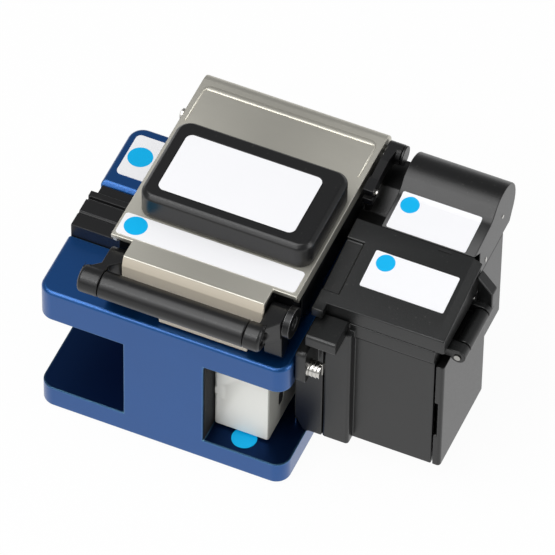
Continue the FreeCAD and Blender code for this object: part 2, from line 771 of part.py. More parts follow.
# ---------------------------------------------------------------- pull bar
def make_pull_bar():
    reach = 9.0
    bar = break_edges(rod_x(bar_radius, bar_left, bar_right, bar_y, bar_z), 0.5)
    waist = rod_x(bar_radius + 1, sleeve_left, sleeve_right, bar_y, bar_z)
    bar = bar.cut(waist.cut(rod_x(bar_core_radius, bar_left, bar_right, bar_y, bar_z)))
    boss = (bar_pivot_y, bar_pivot_z, bar_boss_radius)
    toe_end = (bar_pivot_y - 1.2, base_height + 3.0, 1.8)
    front = bar_y - reach
    rear = bar_pivot_y + reach
    left_out = bar_arm_left + bar_arm_width
    right_out = bar_arm_right + bar_arm_width
    left_plan = [(bar_left, front), (sleeve_left, front), (sleeve_left, bar_y + 3.3),
                 (left_out, bar_y + 5.4), (left_out, rear), (bar_arm_left, rear),
                 (bar_arm_left, bar_y + 3.7), (bar_left, bar_y + 0.9)]
    right_plan = [(sleeve_right, front), (bar_right, front), (bar_right, bar_y + 0.9),
                  (right_out, bar_y + 3.7), (right_out, rear), (bar_arm_right, rear),
                  (bar_arm_right, bar_y + 1.2), (sleeve_right, bar_y - 1.0)]
    arms = []
    for plan in (left_plan, right_plan):
        low = min(x for x, y in plan)
        high = max(x for x, y in plan)
        side = link(boss, (bar_y + 0.6, bar_z, 2.6), low, high).fuse(link(boss, toe_end, low, high))
        corners = [Vec(x, y, base_height) for x, y in plan]
        prism = Part.Face(Part.makePolygon(corners + corners[:1])).extrude(Vec(0, 0, cover_rise))
        arms.append(side.common(prism))
    frame = bar.fuse(arms).removeSplitter()
    frame = frame.cut(rod_x(bar_pivot_radius + running_gap, bar_arm_left - 1, bar_arm_right + reach,
                            bar_pivot_y, bar_pivot_z))
    frame = frame.cut(rod_x(1.6, bar_right - 0.8, bar_right + 1, bar_y, bar_z))
    save("pull_bar", frame)
    sleeve = rod_x(bar_radius, sleeve_left + 0.1, sleeve_right - 0.1, bar_y, bar_z)
    sleeve = break_edges(sleeve, 0.25)
    save("bar_sleeve", sleeve.cut(rod_x(bar_core_radius, bar_left, bar_right, bar_y, bar_z)))
    blind = rod_x(bar_pivot_radius, bar_arm_left + 0.4, tongue_left + 5.0, bar_pivot_y, bar_pivot_z)
    face = bar_arm_right + bar_arm_width + 0.15
    screw = rod_x(bar_pivot_radius, tongue_right - 5.0, face, bar_pivot_y, bar_pivot_z)
    disc = rod_x(pivot_disc_radius, face, face + pivot_disc_thick, bar_pivot_y, bar_pivot_z)
    disc = disc.cut(rod_x(1.5, face + 0.9, face + pivot_disc_thick + 1, bar_pivot_y, bar_pivot_z))
    screw = screw.fuse(disc).removeSplitter()
    save("bar_pivot_screws", Part.makeCompound([blind, screw]))


# ---------------------------------------------------------------- collector
def make_bracket():
    x_in = base_width + 0.1
    deck_under = base_height - deck_thick_right
    plate = box(x_in, bracket_right, column_front, bin_rear - 2.0, bin_bottom, lug_top)
    lug = box(x_in, lug_right, lug_front, column_front + 1, lug_bottom, lug_top)
    lug = round_edges(lug, 1.2, lambda edge: crosswise(edge) and edge.BoundBox.YMax < lug_front + 0.1)
    inner_rear = column_front + 12.0
    inner = box(bracket_left, x_in + 0.5, column_front, inner_rear, floor_thick + 0.5, deck_under - 0.2)
    toe_left = bracket_left - 0.1
    toe = [(toe_left, floor_thick), (toe_left + 2.5, floor_thick), (toe_left, floor_thick + 5.0)]
    corners = [Vec(x, column_front - 1, z) for x, z in toe]
    wedge = Part.Face(Part.makePolygon(corners + corners[:1])).extrude(Vec(0, inner_rear, 0))
    bracket = plate.fuse([lug, inner]).removeSplitter().cut(wedge)
    bracket = bracket.cut(rod_x(thumb_shank_radius + 0.1, 0, bracket_right + 1, thumb_y, thumb_z))
    for y, z in bracket_screw_spots():
        bracket = bracket.cut(rod_x(screw_radius, bracket_left, bracket_right + 1, y, z))
    save("collector_bracket", bracket)
    seat = lug_right + thumb_washer_thick
    hole = rod_x(thumb_shank_radius, lug_right - 1, lug_right + 1, thumb_y, thumb_z)
    save("thumb_washer", rod_x(thumb_radius + 0.2, lug_right, seat, thumb_y, thumb_z).cut(hole))
    shank = rod_x(thumb_shank_radius, base_width - thumb_bite, seat, thumb_y, thumb_z)
    end = seat + thumb_length
    head = rod_x(thumb_radius, seat, end, thumb_y, thumb_z)
    waist = rod_x(thumb_radius + 1, seat + 1.4, seat + 1.8, thumb_y, thumb_z)
    head = head.cut(waist.cut(rod_x(thumb_radius - 0.4, seat, end, thumb_y, thumb_z)))
    slot = box(end - 0.6, end + 1, thumb_y - 0.3, thumb_y + 0.3,
               thumb_z - thumb_radius, thumb_z + thumb_radius)
    save("thumb_screw", head.cut(slot).fuse(shank).removeSplitter())


def lid_ear_spots():
    """Left faces of the housing's two hinge ears."""
    return (hood_left + 0.4, bin_right - lid_ear_width - 0.4)


def roller_plates():
    """Front faces of the plates before and behind the rollers and gears."""
    return (roller_front - 0.4 - plate_thick, gear_front + gear_width + 0.4)


def bracket_screw_spots():
    rows = (bin_front + bracket_screw_front, bin_rear - bracket_screw_rear)
    heights = (bin_bottom + bracket_screw_low, bin_bottom + bracket_screw_high)
    return [(y, z) for z in heights for y in rows]


def hood_outline(inset):
    """Side outline of the gear hood: a lip over the bin's rear wall, a nearly flat top, a drum round."""
    wall = bin_rear + 0.1 + inset
    flat_end_z = hood_lip_z + hood_flat_climb - inset
    radius = drum_radius - inset
    points = [(wall, bin_top - 2.0)]
    if inset:
        points.append((wall, flat_end_z - inset / 2))
    else:
        points += [(wall, hood_lip_z - 2.2), (hood_lip_y, hood_lip_z)]
    points += [(hood_flat_end, flat_end_z), (hood_flat_end + 1.6, flat_end_z + 0.7)]
    start = math.radians(120)
    end = -math.radians(38)
    steps = 14
    for k in range(steps + 1):
        angle = start + (end - start) * k / steps
        points.append((drum_y + radius * math.cos(angle), drum_z + radius * math.sin(angle)))
    points.append((hood_rear - inset, bin_top - 8.5))
    return points


def make_housing():
    shell = box(bin_left, bin_right, bin_front, bin_rear, bin_bottom, bin_top)
    back = box(hood_left, bin_right, bin_rear - 1, hood_rear, hood_step, bin_top - 2.0)
    shoulder = box(bin_left - shoulder_overhang, hood_left, bin_rear - 1, hood_rear, hood_step, bin_top)
    shelf_bottom = shelf_top - shelf_thick
    column = box(bin_left, column_right, column_front, bin_front + 1, bin_bottom, shelf_bottom + 0.5)
    column = round_edges(column, 0.8, lambda edge: upright(edge) and edge.BoundBox.YMax < column_front + 0.1)
    shell = shell.fuse([back, shoulder, column]).removeSplitter()
    cavity = box(bin_left + bin_wall, bin_right + 1, bin_front + bin_wall, bin_rear - bin_wall,
                 bin_bottom + bin_wall, bin_top + 1)
    shell = shell.cut(cavity)
    rim = box(bin_left, bin_right, lid_front, bin_front + 0.2, bin_top - rim_height, bin_top)
    rim = rim.makeChamfer(rim_proud * 0.9, [edge for edge in rim.Edges if crosswise(edge)
                          and edge.BoundBox.YMax < bin_front - 0.1 and edge.BoundBox.ZMax < bin_top - 1])
    shelf_right = shelf_left + shelf_width
    shelf = box(shelf_left, shelf_right, shelf_front, bin_front + 0.5, shelf_bottom, shelf_top)
    shelf = shelf.cut(box(shelf_left - 1, shelf_right + 1, lid_front - air_gap, bin_front + 1,
                          bin_top, shelf_top + 1))
    shelf = round_edges(shelf, 0.8, lambda edge: crosswise(edge) and edge.BoundBox.YMax < shelf_front + 0.1)
    header = box(bin_right - bin_wall, bin_right, bin_front + 0.5, bin_rear - 0.5, bin_top - 6.0, bin_top)
    entry = box(bin_left - 1, bin_left + bin_wall + 1, fibre_y - 4.0, fibre_y + 4.0,
                fibre_z - 2.0, bin_top + 1)
    shell = shell.fuse([rim, shelf, header]).removeSplitter().cut(entry)
    ears = []
    for x0 in lid_ear_spots():
        x1 = x0 + lid_ear_width
        ear = link((lid_pivot_y, lid_pivot_z, lid_barrel_radius), (lid_pivot_y, bin_top, 1.6), x0, x1)
        ears.append(ear)
        ears.append(box(x0, x1, lid_pivot_y - 1.6, bin_rear - 0.5, bin_top - 3.5, bin_top - 0.6))
    shell = shell.fuse(ears).removeSplitter()
    shell = shell.cut(rod_x(lid_pin_radius, hood_left - 1, bin_right + 1, lid_pivot_y, lid_pivot_z))
    lugs = []
    for y0 in (door_barrel_front - air_gap - lug_length, door_barrel_front + door_barrel_length + air_gap):
        lug = rod_y(door_barrel_radius, y0, y0 + lug_length, door_pivot_x, door_pivot_z)
        arm = box(bin_right - 0.5, door_pivot_x, y0, y0 + lug_length, door_pivot_z - 0.6,
                  door_pivot_z + door_barrel_radius)
        lugs.append(lug.fuse(arm).removeSplitter())
    shell = shell.fuse(lugs).removeSplitter()
    shell = shell.cut(rod_y(door_pin_radius, 0, base_depth, door_pivot_x, door_pivot_z))
    for y, z in bracket_screw_spots():
        shell = shell.cut(rod_x(screw_radius, bin_left - 1, bin_left + bin_wall + 1, y, z))
    save("collector_housing", shell)
    screws = []
    inner_face = bin_left + bin_wall
    for y, z in bracket_screw_spots():
        shank = rod_x(screw_radius, bin_left - bracket_screw_bite, inner_face, y, z)
        head = rod_x(bracket_screw_head_radius, inner_face, inner_face + screw_head_height, y, z)
        screws.append(shank.fuse(head).removeSplitter())
    save("bracket_screws", Part.makeCompound(screws))
    first, last = lid_ear_spots()
    save("lid_pin", rod_x(lid_pin_radius, first, last + lid_ear_width, lid_pivot_y, lid_pivot_z))
    y0 = door_barrel_front - air_gap - lug_length
    y1 = door_barrel_front + door_barrel_length + air_gap + lug_length
    save("door_pin", rod_y(door_pin_radius, y0 - 0.3, y1 + 0.3, door_pivot_x, door_pivot_z))


def make_roller_frame():
    """Two cross plates tied along the left wall carry the lower roller; the upper one hangs in the lid."""
    wall = bin_left + bin_wall
    top = lower_roller_z + 2.2
    plates = []
    for y0 in roller_plates():
        plate = box(wall, roller_x + 5.0, y0, y0 + plate_thick, lower_roller_z - 3.0, top)
        plate = round_edges(plate, 1.6, lambda edge: along(edge, Vec(0, 1, 0))
                            and edge.BoundBox.XMin > wall + 1)
        plates.append(plate)
    front, rear = roller_plates()
    tie = box(wall, wall + plate_thick, front, rear + plate_thick, lower_roller_z - 3.0, fibre_z - 3.5)
    frame = plates[0].fuse([plates[1], tie]).removeSplitter()
    frame = frame.cut(rod_y(roller_shaft_radius + running_gap, front - 1, rear + 3,
                            roller_x, lower_roller_z))
    save("roller_frame", frame)


def make_hood():
    outer = side_profile(hood_outline(0), hood_left, bin_right)
    inner = side_profile(hood_outline(bin_wall), hood_left + bin_wall, bin_right - bin_wall)
    shell = outer.cut(inner)
    shell = shell.cut(box(hood_left - 1, bin_right + 1, 0, hood_rear + 9, 0, bin_top - 2.0))
    save("gear_hood", shell)


def make_lid():
    y1 = lid_rear
    outline = [(lid_front, bin_top + 0.15), (y1 - 3.2, bin_top + 0.15), (y1, lid_pivot_z - 0.2),
               (y1, lid_height(y1)), (lid_front, lid_height(lid_front))]
    solid = side_profile(outline, lid_left, lid_right)
    inner_left = bin_left + 2.2
    inner_front = lid_front + lid_skirt
    under = [(inner_front, bin_top - 1), (y1 + 1, bin_top - 1), (y1 + 1, lid_height(y1 + 1) - lid_sheet),
             (inner_front, lid_height(inner_front) - lid_sheet)]
    inner = side_profile(under, inner_left, lid_right - lid_skirt)
    lid = solid.cut(inner)
    tab = box(lid_left, lid_left + lid_strip, lid_front - lid_strip, lid_front + 0.5, lid_front_top - 2.6,
              lid_front_top)
    lid = lid.fuse(tab)
    y_a = lid_front + 3.1
    y_b = y1 - 4.9
    sunk = [(y_a, lid_height(y_a) - lid_recess), (y_b, lid_height(y_b) - lid_recess),
            (y_b, lid_height(y_b) + 1), (y_a, lid_height(y_a) + 1)]
    lid = lid.cut(side_profile(sunk, lid_left - 1, bin_left + 1.2))
    first, last = lid_ear_spots()
    pocket_top = lid_pivot_z + lid_barrel_radius + 0.25
    for x0 in (first, last):
        lid = lid.cut(box(x0 - 0.25, x0 + lid_ear_width + 0.25, lid_pivot_y - lid_barrel_radius - 0.9,
                          y1 + 1, 0, pocket_top))
    barrel_left = first + lid_ear_width + 0.25
    barrel_right = last - 0.25
    added = [rod_x(lid_barrel_radius, barrel_left, barrel_right, lid_pivot_y, lid_pivot_z)]
    for y0 in roller_plates():
        added.append(box(roller_x - 3, roller_x + 3, y0, y0 + plate_thick, upper_roller_z - 1.8,
                         lid_height(y0) - lid_sheet + 0.4))
    lid = lid.fuse(added).removeSplitter()
    lid = lid.cut(rod_x(lid_pin_radius + running_gap, barrel_left - 1, barrel_right + 1,
                        lid_pivot_y, lid_pivot_z))
    front_plate, rear_plate = roller_plates()
    lid = lid.cut(rod_y(roller_shaft_radius + running_gap, front_plate - 1, rear_plate + 3,
                        roller_x, upper_roller_z))
    save("collector_lid", lid)


def make_door():
    x0 = bin_right + door_gap
    x1 = door_outer
    panel = box(x0, x1, bin_front, bin_rear, bin_bottom, door_pivot_z - 2.6)
    panel = round_edges(panel, 0.8, lambda edge: upright(edge) and edge.BoundBox.XMin > x1 - 0.1)
    notch = rod_z(1.4, bin_bottom + 10.2, bin_bottom + 21.2, x0 - 0.6, bin_front)
    y0 = door_barrel_front
    y1 = door_barrel_front + door_barrel_length
    barrel = rod_y(door_barrel_radius, y0, y1, door_pivot_x, door_pivot_z)
    strap = box(x0, x1, y0, y1, door_pivot_z - 3.4, door_pivot_z)
    bridge = box(x0, door_pivot_x, y0, y1, door_pivot_z - door_barrel_radius, door_pivot_z)
    door = panel.cut(notch).fuse([barrel, strap, bridge]).removeSplitter()
    door = door.cut(rod_y(door_pin_radius + running_gap, y0 - 1, y1 + 1, door_pivot_x, door_pivot_z))
    save("bin_door", door)


def gear(x, z, phase):
    """Spur gear whose two partners sit one pitch diameter apart."""
    pitch = (upper_roller_z - lower_roller_z) / 2
    tooth = 0.62 * pitch * 2 / gear_teeth
    root = pitch - 0.75 * tooth * 1.25
    tip = pitch + 0.6 * tooth
    corners = []
    step = 2 * math.pi / gear_teeth
    for k in range(gear_teeth):
        middle = phase + k * step
        for offset, radius in ((-0.27, root), (-0.12, tip), (0.12, tip), (0.27, root)):
            angle = middle + offset * step
            corners.append(Vec(x + radius * math.cos(angle), gear_front, z + radius * math.sin(angle)))
    face = Part.Face(Part.makePolygon(corners + corners[:1]))
    return face.extrude(Vec(0, gear_width, 0))


def make_rollers():
    half_step = math.pi / gear_teeth
    y0 = roller_front
    y1 = roller_front + roller_length
    front_plate, rear_plate = roller_plates()
    rear = rear_plate + plate_thick
    for name, z, phase in (("drive", lower_roller_z, math.pi / 2),
                           ("pinch", upper_roller_z, -math.pi / 2 + half_step)):
        shaft = rod_y(roller_shaft_radius, front_plate, rear, roller_x, z)
        core = rod_y(roller_core_radius, y0, y1, roller_x, z)
        save(name + "_roller_shaft", shaft.fuse(core).removeSplitter())
        bore = rod_y(roller_core_radius, y0 - 1, y1 + 1, roller_x, z)
        save(name + "_roller_sleeve", rod_y(roller_radius, y0, y1, roller_x, z).cut(bore))
        wheel = gear(roller_x, z, phase).cut(rod_y(roller_shaft_radius, y0 - 1, rear + 1, roller_x, z))
        save(name + "_gear", wheel)


def make_feed_lever():
    x0 = cover_right + lever_gap
    x1 = hinge_pin_right - lever_cap_gap
    left = x0 + 0.4
    right = left + lever_thick
    elbow = (hinge_y - lever_elbow_forward, hinge_z + lever_elbow_rise, lever_elbow_radius)
    tip_y = hinge_y - lever_tip_forward
    hub = rod_x(lever_hub_radius, x0, x1, hinge_y, hinge_z)
    upper = link((hinge_y, hinge_z, lever_root_radius), elbow, left, right)
    lower = link(elbow, (tip_y, hinge_z + lever_tip_rise, lever_tip_radius), left, right)
    fork = box(left - fork_side, right + fork_side, tip_y - fork_length, tip_y,
               hinge_z - fork_bottom_drop, hinge_z + fork_top_rise)
    fork = fork.cut(box(x0, right + 1, tip_y - fork_length - 1, tip_y - fork_web,
                        hinge_z + fork_mouth_low, hinge_z + fork_mouth_high))
    lever = hub.fuse([upper, lower, fork]).removeSplitter()
    lever = lever.cut(rod_x(hinge_pin_radius + running_gap, x0 - 1, x1 + 1, hinge_y, hinge_z))
    save("feed_lever", lever)
    pin_z = hinge_z + (fork_mouth_low + fork_mouth_high) / 2
    save("lever_pin", rod_x(lever_pin_radius, x0 + 0.1, right + fork_side + lever_pin_proud,
                            tip_y - lever_pin_back, pin_z))
    cap = rod_x(pin_cap_radius, x1 + 0.15, hinge_pin_right + pin_cap_proud, hinge_y, hinge_z)
    save("hinge_pin_cap", cap.cut(rod_x(hinge_pin_radius, x1, hinge_pin_right, hinge_y, hinge_z)))


def make_labels():
    rear = base_depth - deck_label_from_rear
    save("deck_label", rounded_box(deck_label_left, cover_left + deck_label_hidden, rear - deck_label_depth,
                                   rear, base_height, base_height + label_thick, deck_label_corner))
    save("slider_label", rod_z(dot_radius, floor_thick, floor_thick + label_thick,
                               slider_left + dot_right, dot_back))
    front = bin_front + lid_label_from_front
    save("lid_label", sloped_label(bin_left + lid_label_left, bin_right - lid_label_right,
                                   front, front + lid_label_depth, lid_height))
    front = hood_lip_y + hood_label_edge
    rear = hood_flat_end - hood_label_edge
    save("hood_label", sloped_label(hood_left + hood_label_left, bin_right - hood_label_right,
                                    front, rear, hood_height))


os.makedirs("parts", exist_ok=True)
make_base()
make_adapter()
make_lower_clamp()
make_rail()
make_slider()
make_hinge()
make_arm()
make_cover()
make_knob()
make_pull_bar()
make_bracket()
make_housing()
make_roller_frame()
make_hood()
make_lid()
make_door()
make_rollers()
make_feed_lever()
make_labels()
print(len(parts), "nodes")
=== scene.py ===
import json
import math
import bmesh
import bpy
from mathutils import Matrix, Vector

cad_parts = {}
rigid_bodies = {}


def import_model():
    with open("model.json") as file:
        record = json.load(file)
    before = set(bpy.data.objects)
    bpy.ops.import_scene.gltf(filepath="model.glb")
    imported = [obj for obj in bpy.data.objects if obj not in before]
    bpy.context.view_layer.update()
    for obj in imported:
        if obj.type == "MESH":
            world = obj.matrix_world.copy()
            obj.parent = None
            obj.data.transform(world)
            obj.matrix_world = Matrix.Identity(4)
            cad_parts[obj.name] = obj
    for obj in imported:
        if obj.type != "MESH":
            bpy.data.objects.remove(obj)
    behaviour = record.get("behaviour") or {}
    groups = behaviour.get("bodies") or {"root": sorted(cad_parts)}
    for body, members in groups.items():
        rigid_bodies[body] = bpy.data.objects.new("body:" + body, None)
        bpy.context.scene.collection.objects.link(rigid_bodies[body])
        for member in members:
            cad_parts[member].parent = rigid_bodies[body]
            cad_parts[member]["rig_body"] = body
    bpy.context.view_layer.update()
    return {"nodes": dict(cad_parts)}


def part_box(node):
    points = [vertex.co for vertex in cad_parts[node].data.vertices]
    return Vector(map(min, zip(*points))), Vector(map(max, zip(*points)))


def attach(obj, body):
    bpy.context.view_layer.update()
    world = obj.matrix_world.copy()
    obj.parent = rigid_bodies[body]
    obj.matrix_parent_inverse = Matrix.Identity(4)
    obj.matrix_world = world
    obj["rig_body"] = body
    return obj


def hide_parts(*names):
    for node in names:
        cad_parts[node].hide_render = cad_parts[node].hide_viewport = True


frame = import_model()
nodes = frame["nodes"]
mm = 0.001


viewCamera = {
    "azimuth": 22.834,     # degrees to the right of straight on
    "elevation": 49.911,   # degrees above level
    "roll": 1.027,         # degrees
    "distance": 1625 * mm,
    "lens": 476.6,         # millimetres, on the sensor's width
    "sensor": 36,
    "clip": (0.1, 20),     # nearest and farthest that it sees, in metres
    "aim": Vector((15.0, -1.3, 30.6)) * mm,
    "slide": (1.856 * mm, 4.802 * mm),   # right and up, to frame the object
}


def makeCamera(look):
    a = math.radians(look["azimuth"])
    e = math.radians(look["elevation"])
    roll = math.radians(look["roll"])
    back = Vector((math.sin(a) * math.cos(e), -math.cos(a) * math.cos(e), math.sin(e)))
    right = Vector((math.cos(a), math.sin(a), 0))
    up = back.cross(right)
    tiltedRight = right * math.cos(roll) + up * math.sin(roll)
    tiltedUp = up * math.cos(roll) - right * math.sin(roll)
    place = look["aim"] + tiltedRight * look["slide"][0] + tiltedUp * look["slide"][1]
    data = bpy.data.cameras.new("camera")
    data.lens = look["lens"]
    data.sensor_width = look["sensor"]
    data.clip_start, data.clip_end = look["clip"]
    camera = bpy.data.objects.new("camera", data)
    turn = Matrix((tiltedRight, tiltedUp, back)).transposed().to_4x4()
    camera.matrix_world = Matrix.Translation(place + back * look["distance"]) @ turn
    bpy.context.scene.collection.objects.link(camera)
    bpy.context.scene.camera = camera


makeCamera(viewCamera)
print("camera placed")


groupLook = {
    "cornerSamples": 6,
    "patches": {"Scale": 90, "Detail": 4},          # soft uneven areas
    "specks": {"Scale": 1500, "Detail": 2},         # dust
    "speckRange": {"From Min": 0.66, "From Max": 0.78},
    "dotEdge": 12000.0,      # how fast a dot fades at its rim, per metre
    "faces": 0.5,            # share of its normal that makes a face look up or to the right
    "wallReach": 6 * mm,     # how far the recess's wall lies from the rail's side, at most
}


def newGroup(name, inputs, outputs):
    group = bpy.data.node_groups.new(name, "ShaderNodeTree")
    for label, kind, value in inputs:
        socket = group.interface.new_socket(label, in_out="INPUT", socket_type=kind)
        socket.default_value = value
    for label, kind in outputs:
        group.interface.new_socket(label, in_out="OUTPUT", socket_type=kind)
    return group, group.nodes.new("NodeGroupInput"), group.nodes.new("NodeGroupOutput")


def feed(tree, sockets, values):
    # each value is another node's output or a plain value
    for socket, value in zip(sockets, values):
        if isinstance(value, bpy.types.NodeSocket):
            tree.links.new(value, socket)
        else:
            socket.default_value = value


def setInputs(node, values):
    for label, value in values.items():
        node.inputs[label].default_value = value


def mathNode(tree, operation, first, second, clamp=False):
    node = tree.nodes.new("ShaderNodeMath")
    node.operation = operation
    node.use_clamp = clamp
    feed(tree, node.inputs, (first, second))
    return node.outputs[0]


def vectorNode(tree, operation, *values):
    node = tree.nodes.new("ShaderNodeVectorMath")
    node.operation = operation
    feed(tree, node.inputs, values)
    return node.outputs["Value" if operation in ("DOT_PRODUCT", "LENGTH") else "Vector"]


def splitNode(tree, source):
    node = tree.nodes.new("ShaderNodeSeparateXYZ")
    tree.links.new(source, node.inputs[0])
    return node.outputs


def objectPlace(tree):
    return tree.nodes.new("ShaderNodeTexCoord").outputs["Object"]


def noiseNode(tree, place, values):
    node = tree.nodes.new("ShaderNodeTexNoise")
    tree.links.new(place, node.inputs["Vector"])
    setInputs(node, values)
    return node


def edgeGroup():
    # 1 where the surface turns a corner within the given width
    group, start, end = newGroup("cornerMask",
                                 [("Width", "NodeSocketFloat", 0.4 * mm), ("Gain", "NodeSocketFloat", 4.0)],
                                 [("Mask", "NodeSocketFloat")])
    corner = group.nodes.new("ShaderNodeBevel")
    corner.samples = groupLook["cornerSamples"]
    group.links.new(start.outputs["Width"], corner.inputs["Radius"])
    surface = group.nodes.new("ShaderNodeNewGeometry")
    match = vectorNode(group, "DOT_PRODUCT", corner.outputs["Normal"], surface.outputs["Normal"])
    turn = mathNode(group, "SUBTRACT", 1.0, match)
    group.links.new(mathNode(group, "MULTIPLY", turn, start.outputs["Gain"], True), end.inputs["Mask"])
    return group


def grainGroup():
    # noise on object coordinates, stretched where the surface was brushed or ground
    group, start, end = newGroup("surfaceGrain",
                                 [("Stretch", "NodeSocketVector", (1, 1, 1)),
                                  ("Scale", "NodeSocketFloat", 4000),
                                  ("Detail", "NodeSocketFloat", 3.0)],
                                 [("Height", "NodeSocketFloat"), ("Patches", "NodeSocketFloat")])
    place = objectPlace(group)
    fine = noiseNode(group, vectorNode(group, "MULTIPLY", place, start.outputs["Stretch"]), {})
    group.links.new(start.outputs["Scale"], fine.inputs["Scale"])
    group.links.new(start.outputs["Detail"], fine.inputs["Detail"])
    patches = noiseNode(group, place, groupLook["patches"])
    group.links.new(fine.outputs["Fac"], end.inputs["Height"])
    group.links.new(patches.outputs["Fac"], end.inputs["Patches"])
    return group


def dustGroup():
    # small pale specks that lie on what faces up
    group, start, end = newGroup("dustSpecks", [("Amount", "NodeSocketFloat", 0.3)],
                                 [("Mask", "NodeSocketFloat")])
    specks = noiseNode(group, objectPlace(group), groupLook["specks"])
    sparse = group.nodes.new("ShaderNodeMapRange")
    setInputs(sparse, groupLook["speckRange"])
    group.links.new(specks.outputs["Fac"], sparse.inputs["Value"])
    surface = group.nodes.new("ShaderNodeNewGeometry")
    facing = mathNode(group, "MULTIPLY", splitNode(group, surface.outputs["Normal"])["Z"],
                      start.outputs["Amount"], True)
    group.links.new(mathNode(group, "MULTIPLY", facing, sparse.outputs["Result"]), end.inputs["Mask"])
    return group


def dotGroup():
    # 1 inside a round dot seen from above, on object coordinates
    group, start, end = newGroup("dotMask", [("Centre", "NodeSocketVector", (0, 0, 0)),
                                             ("Radius", "NodeSocketFloat", 2.5 * mm)],
                                 [("Mask", "NodeSocketFloat")])
    offset = vectorNode(group, "SUBTRACT", objectPlace(group), start.outputs["Centre"])
    reach = vectorNode(group, "LENGTH", vectorNode(group, "MULTIPLY", offset, (1, 1, 0)))
    inside = mathNode(group, "SUBTRACT", start.outputs["Radius"], reach)
    group.links.new(mathNode(group, "MULTIPLY", inside, groupLook["dotEdge"], True), end.inputs["Mask"])
    return group


def hollowShadeGroup():
    # 1 low down and inside the slider's recess, where painted shade darkens the colour
    group, start, end = newGroup("hollowShadeMask",
                                 [("Floor", "NodeSocketFloat", 7 * mm), ("Left", "NodeSocketFloat", 0.0),
                                  ("Roof", "NodeSocketFloat", 30 * mm)],
                                 [("Mask", "NodeSocketFloat")])
    place = splitNode(group, objectPlace(group))
    surface = group.nodes.new("ShaderNodeNewGeometry")
    facing = splitNode(group, surface.outputs["Normal"])
    low = mathNode(group, "LESS_THAN", place["Z"], start.outputs["Floor"])
    up = mathNode(group, "GREATER_THAN", facing["Z"], groupLook["faces"])
    plate = mathNode(group, "MULTIPLY", low, up)
    right = mathNode(group, "GREATER_THAN", facing["X"], groupLook["faces"])
    gap = mathNode(group, "SUBTRACT", place["X"], start.outputs["Left"])
    inside = mathNode(group, "LESS_THAN", mathNode(group, "ABSOLUTE", gap, 0.0), groupLook["wallReach"])
    under = mathNode(group, "LESS_THAN", place["Z"], start.outputs["Roof"])
    wall = mathNode(group, "MULTIPLY", mathNode(group, "MULTIPLY", right, inside), under)
    group.links.new(mathNode(group, "MAXIMUM", plate, wall), end.inputs["Mask"])
    return group


def zoneGroup():
    # 1 inside the box between two corners
    group, start, end = newGroup("zoneMask",
                                 [("Low", "NodeSocketVector", (0, 0, 0)),
                                  ("High", "NodeSocketVector", (0, 0, 0))],
                                 [("Mask", "NodeSocketFloat")])
    place = splitNode(group, objectPlace(group))
    low = splitNode(group, start.outputs["Low"])
    high = splitNode(group, start.outputs["High"])
    inside = 1.0
    for axis in "XYZ":
        for operation, limit in (("GREATER_THAN", low[axis]), ("LESS_THAN", high[axis])):
            inside = mathNode(group, "MULTIPLY", inside, mathNode(group, operation, place[axis], limit))
    group.links.new(inside, end.inputs["Mask"])
    return group


cornerMask = edgeGroup()
surfaceGrain = grainGroup()
dustSpecks = dustGroup()
dotMask = dotGroup()
hollowShadeMask = hollowShadeGroup()
zoneMask = zoneGroup()
print("shader groups made")


def linear(red, green, blue):
    # a colour picked on a 0 to 255 scale, as the renderer counts light
    def channel(value):
        value /= 255
        return value / 12.92 if value <= 0.04045 else ((value + 0.055) / 1.055) ** 2.4
    return channel(red), channel(green), channel(blue), 1.0


def placeGroup(tree, group, values):
    node = tree.nodes.new("ShaderNodeGroup")
    node.node_tree = group
    setInputs(node, values)
    return node


def mixColor(tree, factor, first, second):
    node = tree.nodes.new("ShaderNodeMix")
    node.data_type = "RGBA"
    feed(tree, (node.inputs[0], node.inputs[6], node.inputs[7]), (factor, first, second))
    return node.outputs[2]


plainLook = {
    "metallic": 0.0, "rough": 0.45, "roughVary": 0.1, "ior": 1.5, "anisotropy": 0.0,
    "coat": 0.0, "coatRough": 0.2,
    "shade": 0.12,               # how much the patches darken or lighten the colour
    "stretch": (1, 1, 1), "grainScale": 4000, "grainDetail": 3.0, "bump": 0.02 * mm,
    # the edge colour is a painted highlight along the corners
    "edgeHighlightColor": None, "edgeWidth": 0.35 * mm, "edgeGain": 3.0,
    "dust": 0.0, "dustColor": linear(190, 188, 180),
    "dots": (),                  # x, y and radius in millimetres
    "shadeZones": (), "plain": (),    # boxes of painted shade, and boxes where the metal's sheen is painted as a flat colour
    "hollow": None,
}


def zoneWithin(tree, low, high):
    zone = placeGroup(tree, zoneMask, {"Low": Vector(low) * mm, "High": Vector(high) * mm})
    return zone.outputs["Mask"]


def paintPatches(tree, grain, look):
    base = look["color"][:3]
    darker = tuple(part * (1 - look["shade"]) for part in base) + (1.0,)
    lighter = tuple(min(1.0, part * (1 + look["shade"])) for part in base) + (1.0,)
    return mixColor(tree, grain.outputs["Patches"], darker, lighter)


def paintDotsAndShade(tree, shown, look):
    for x, y, radius in look["dots"]:
        dot = placeGroup(tree, dotMask, {"Centre": (x * mm, y * mm, 0), "Radius": radius * mm})
        shown = mixColor(tree, dot.outputs["Mask"], shown, look["dotColor"])
    # painted shade: each zone darkens what lies in deeper shade
    for low, high, shadeColor in look["shadeZones"]:
        shown = mixColor(tree, zoneWithin(tree, low, high), shown, shadeColor)
    return shown


def paintSheenZones(tree, shader, shown, look):
    # painted sheen: parts of the bare sheet lose their metal and take a flat light colour in place of the
    # reflection they catch
    metal = look["metallic"]
    for low, high in look["plain"]:
        inside = zoneWithin(tree, low, high)
        shown = mixColor(tree, inside, shown, look["paintedSheenColor"])
        metal = mathNode(tree, "MULTIPLY", mathNode(tree, "SUBTRACT", 1.0, inside), metal)
    if look["plain"]:
        tree.links.new(metal, shader.inputs["Metallic"])
    return shown


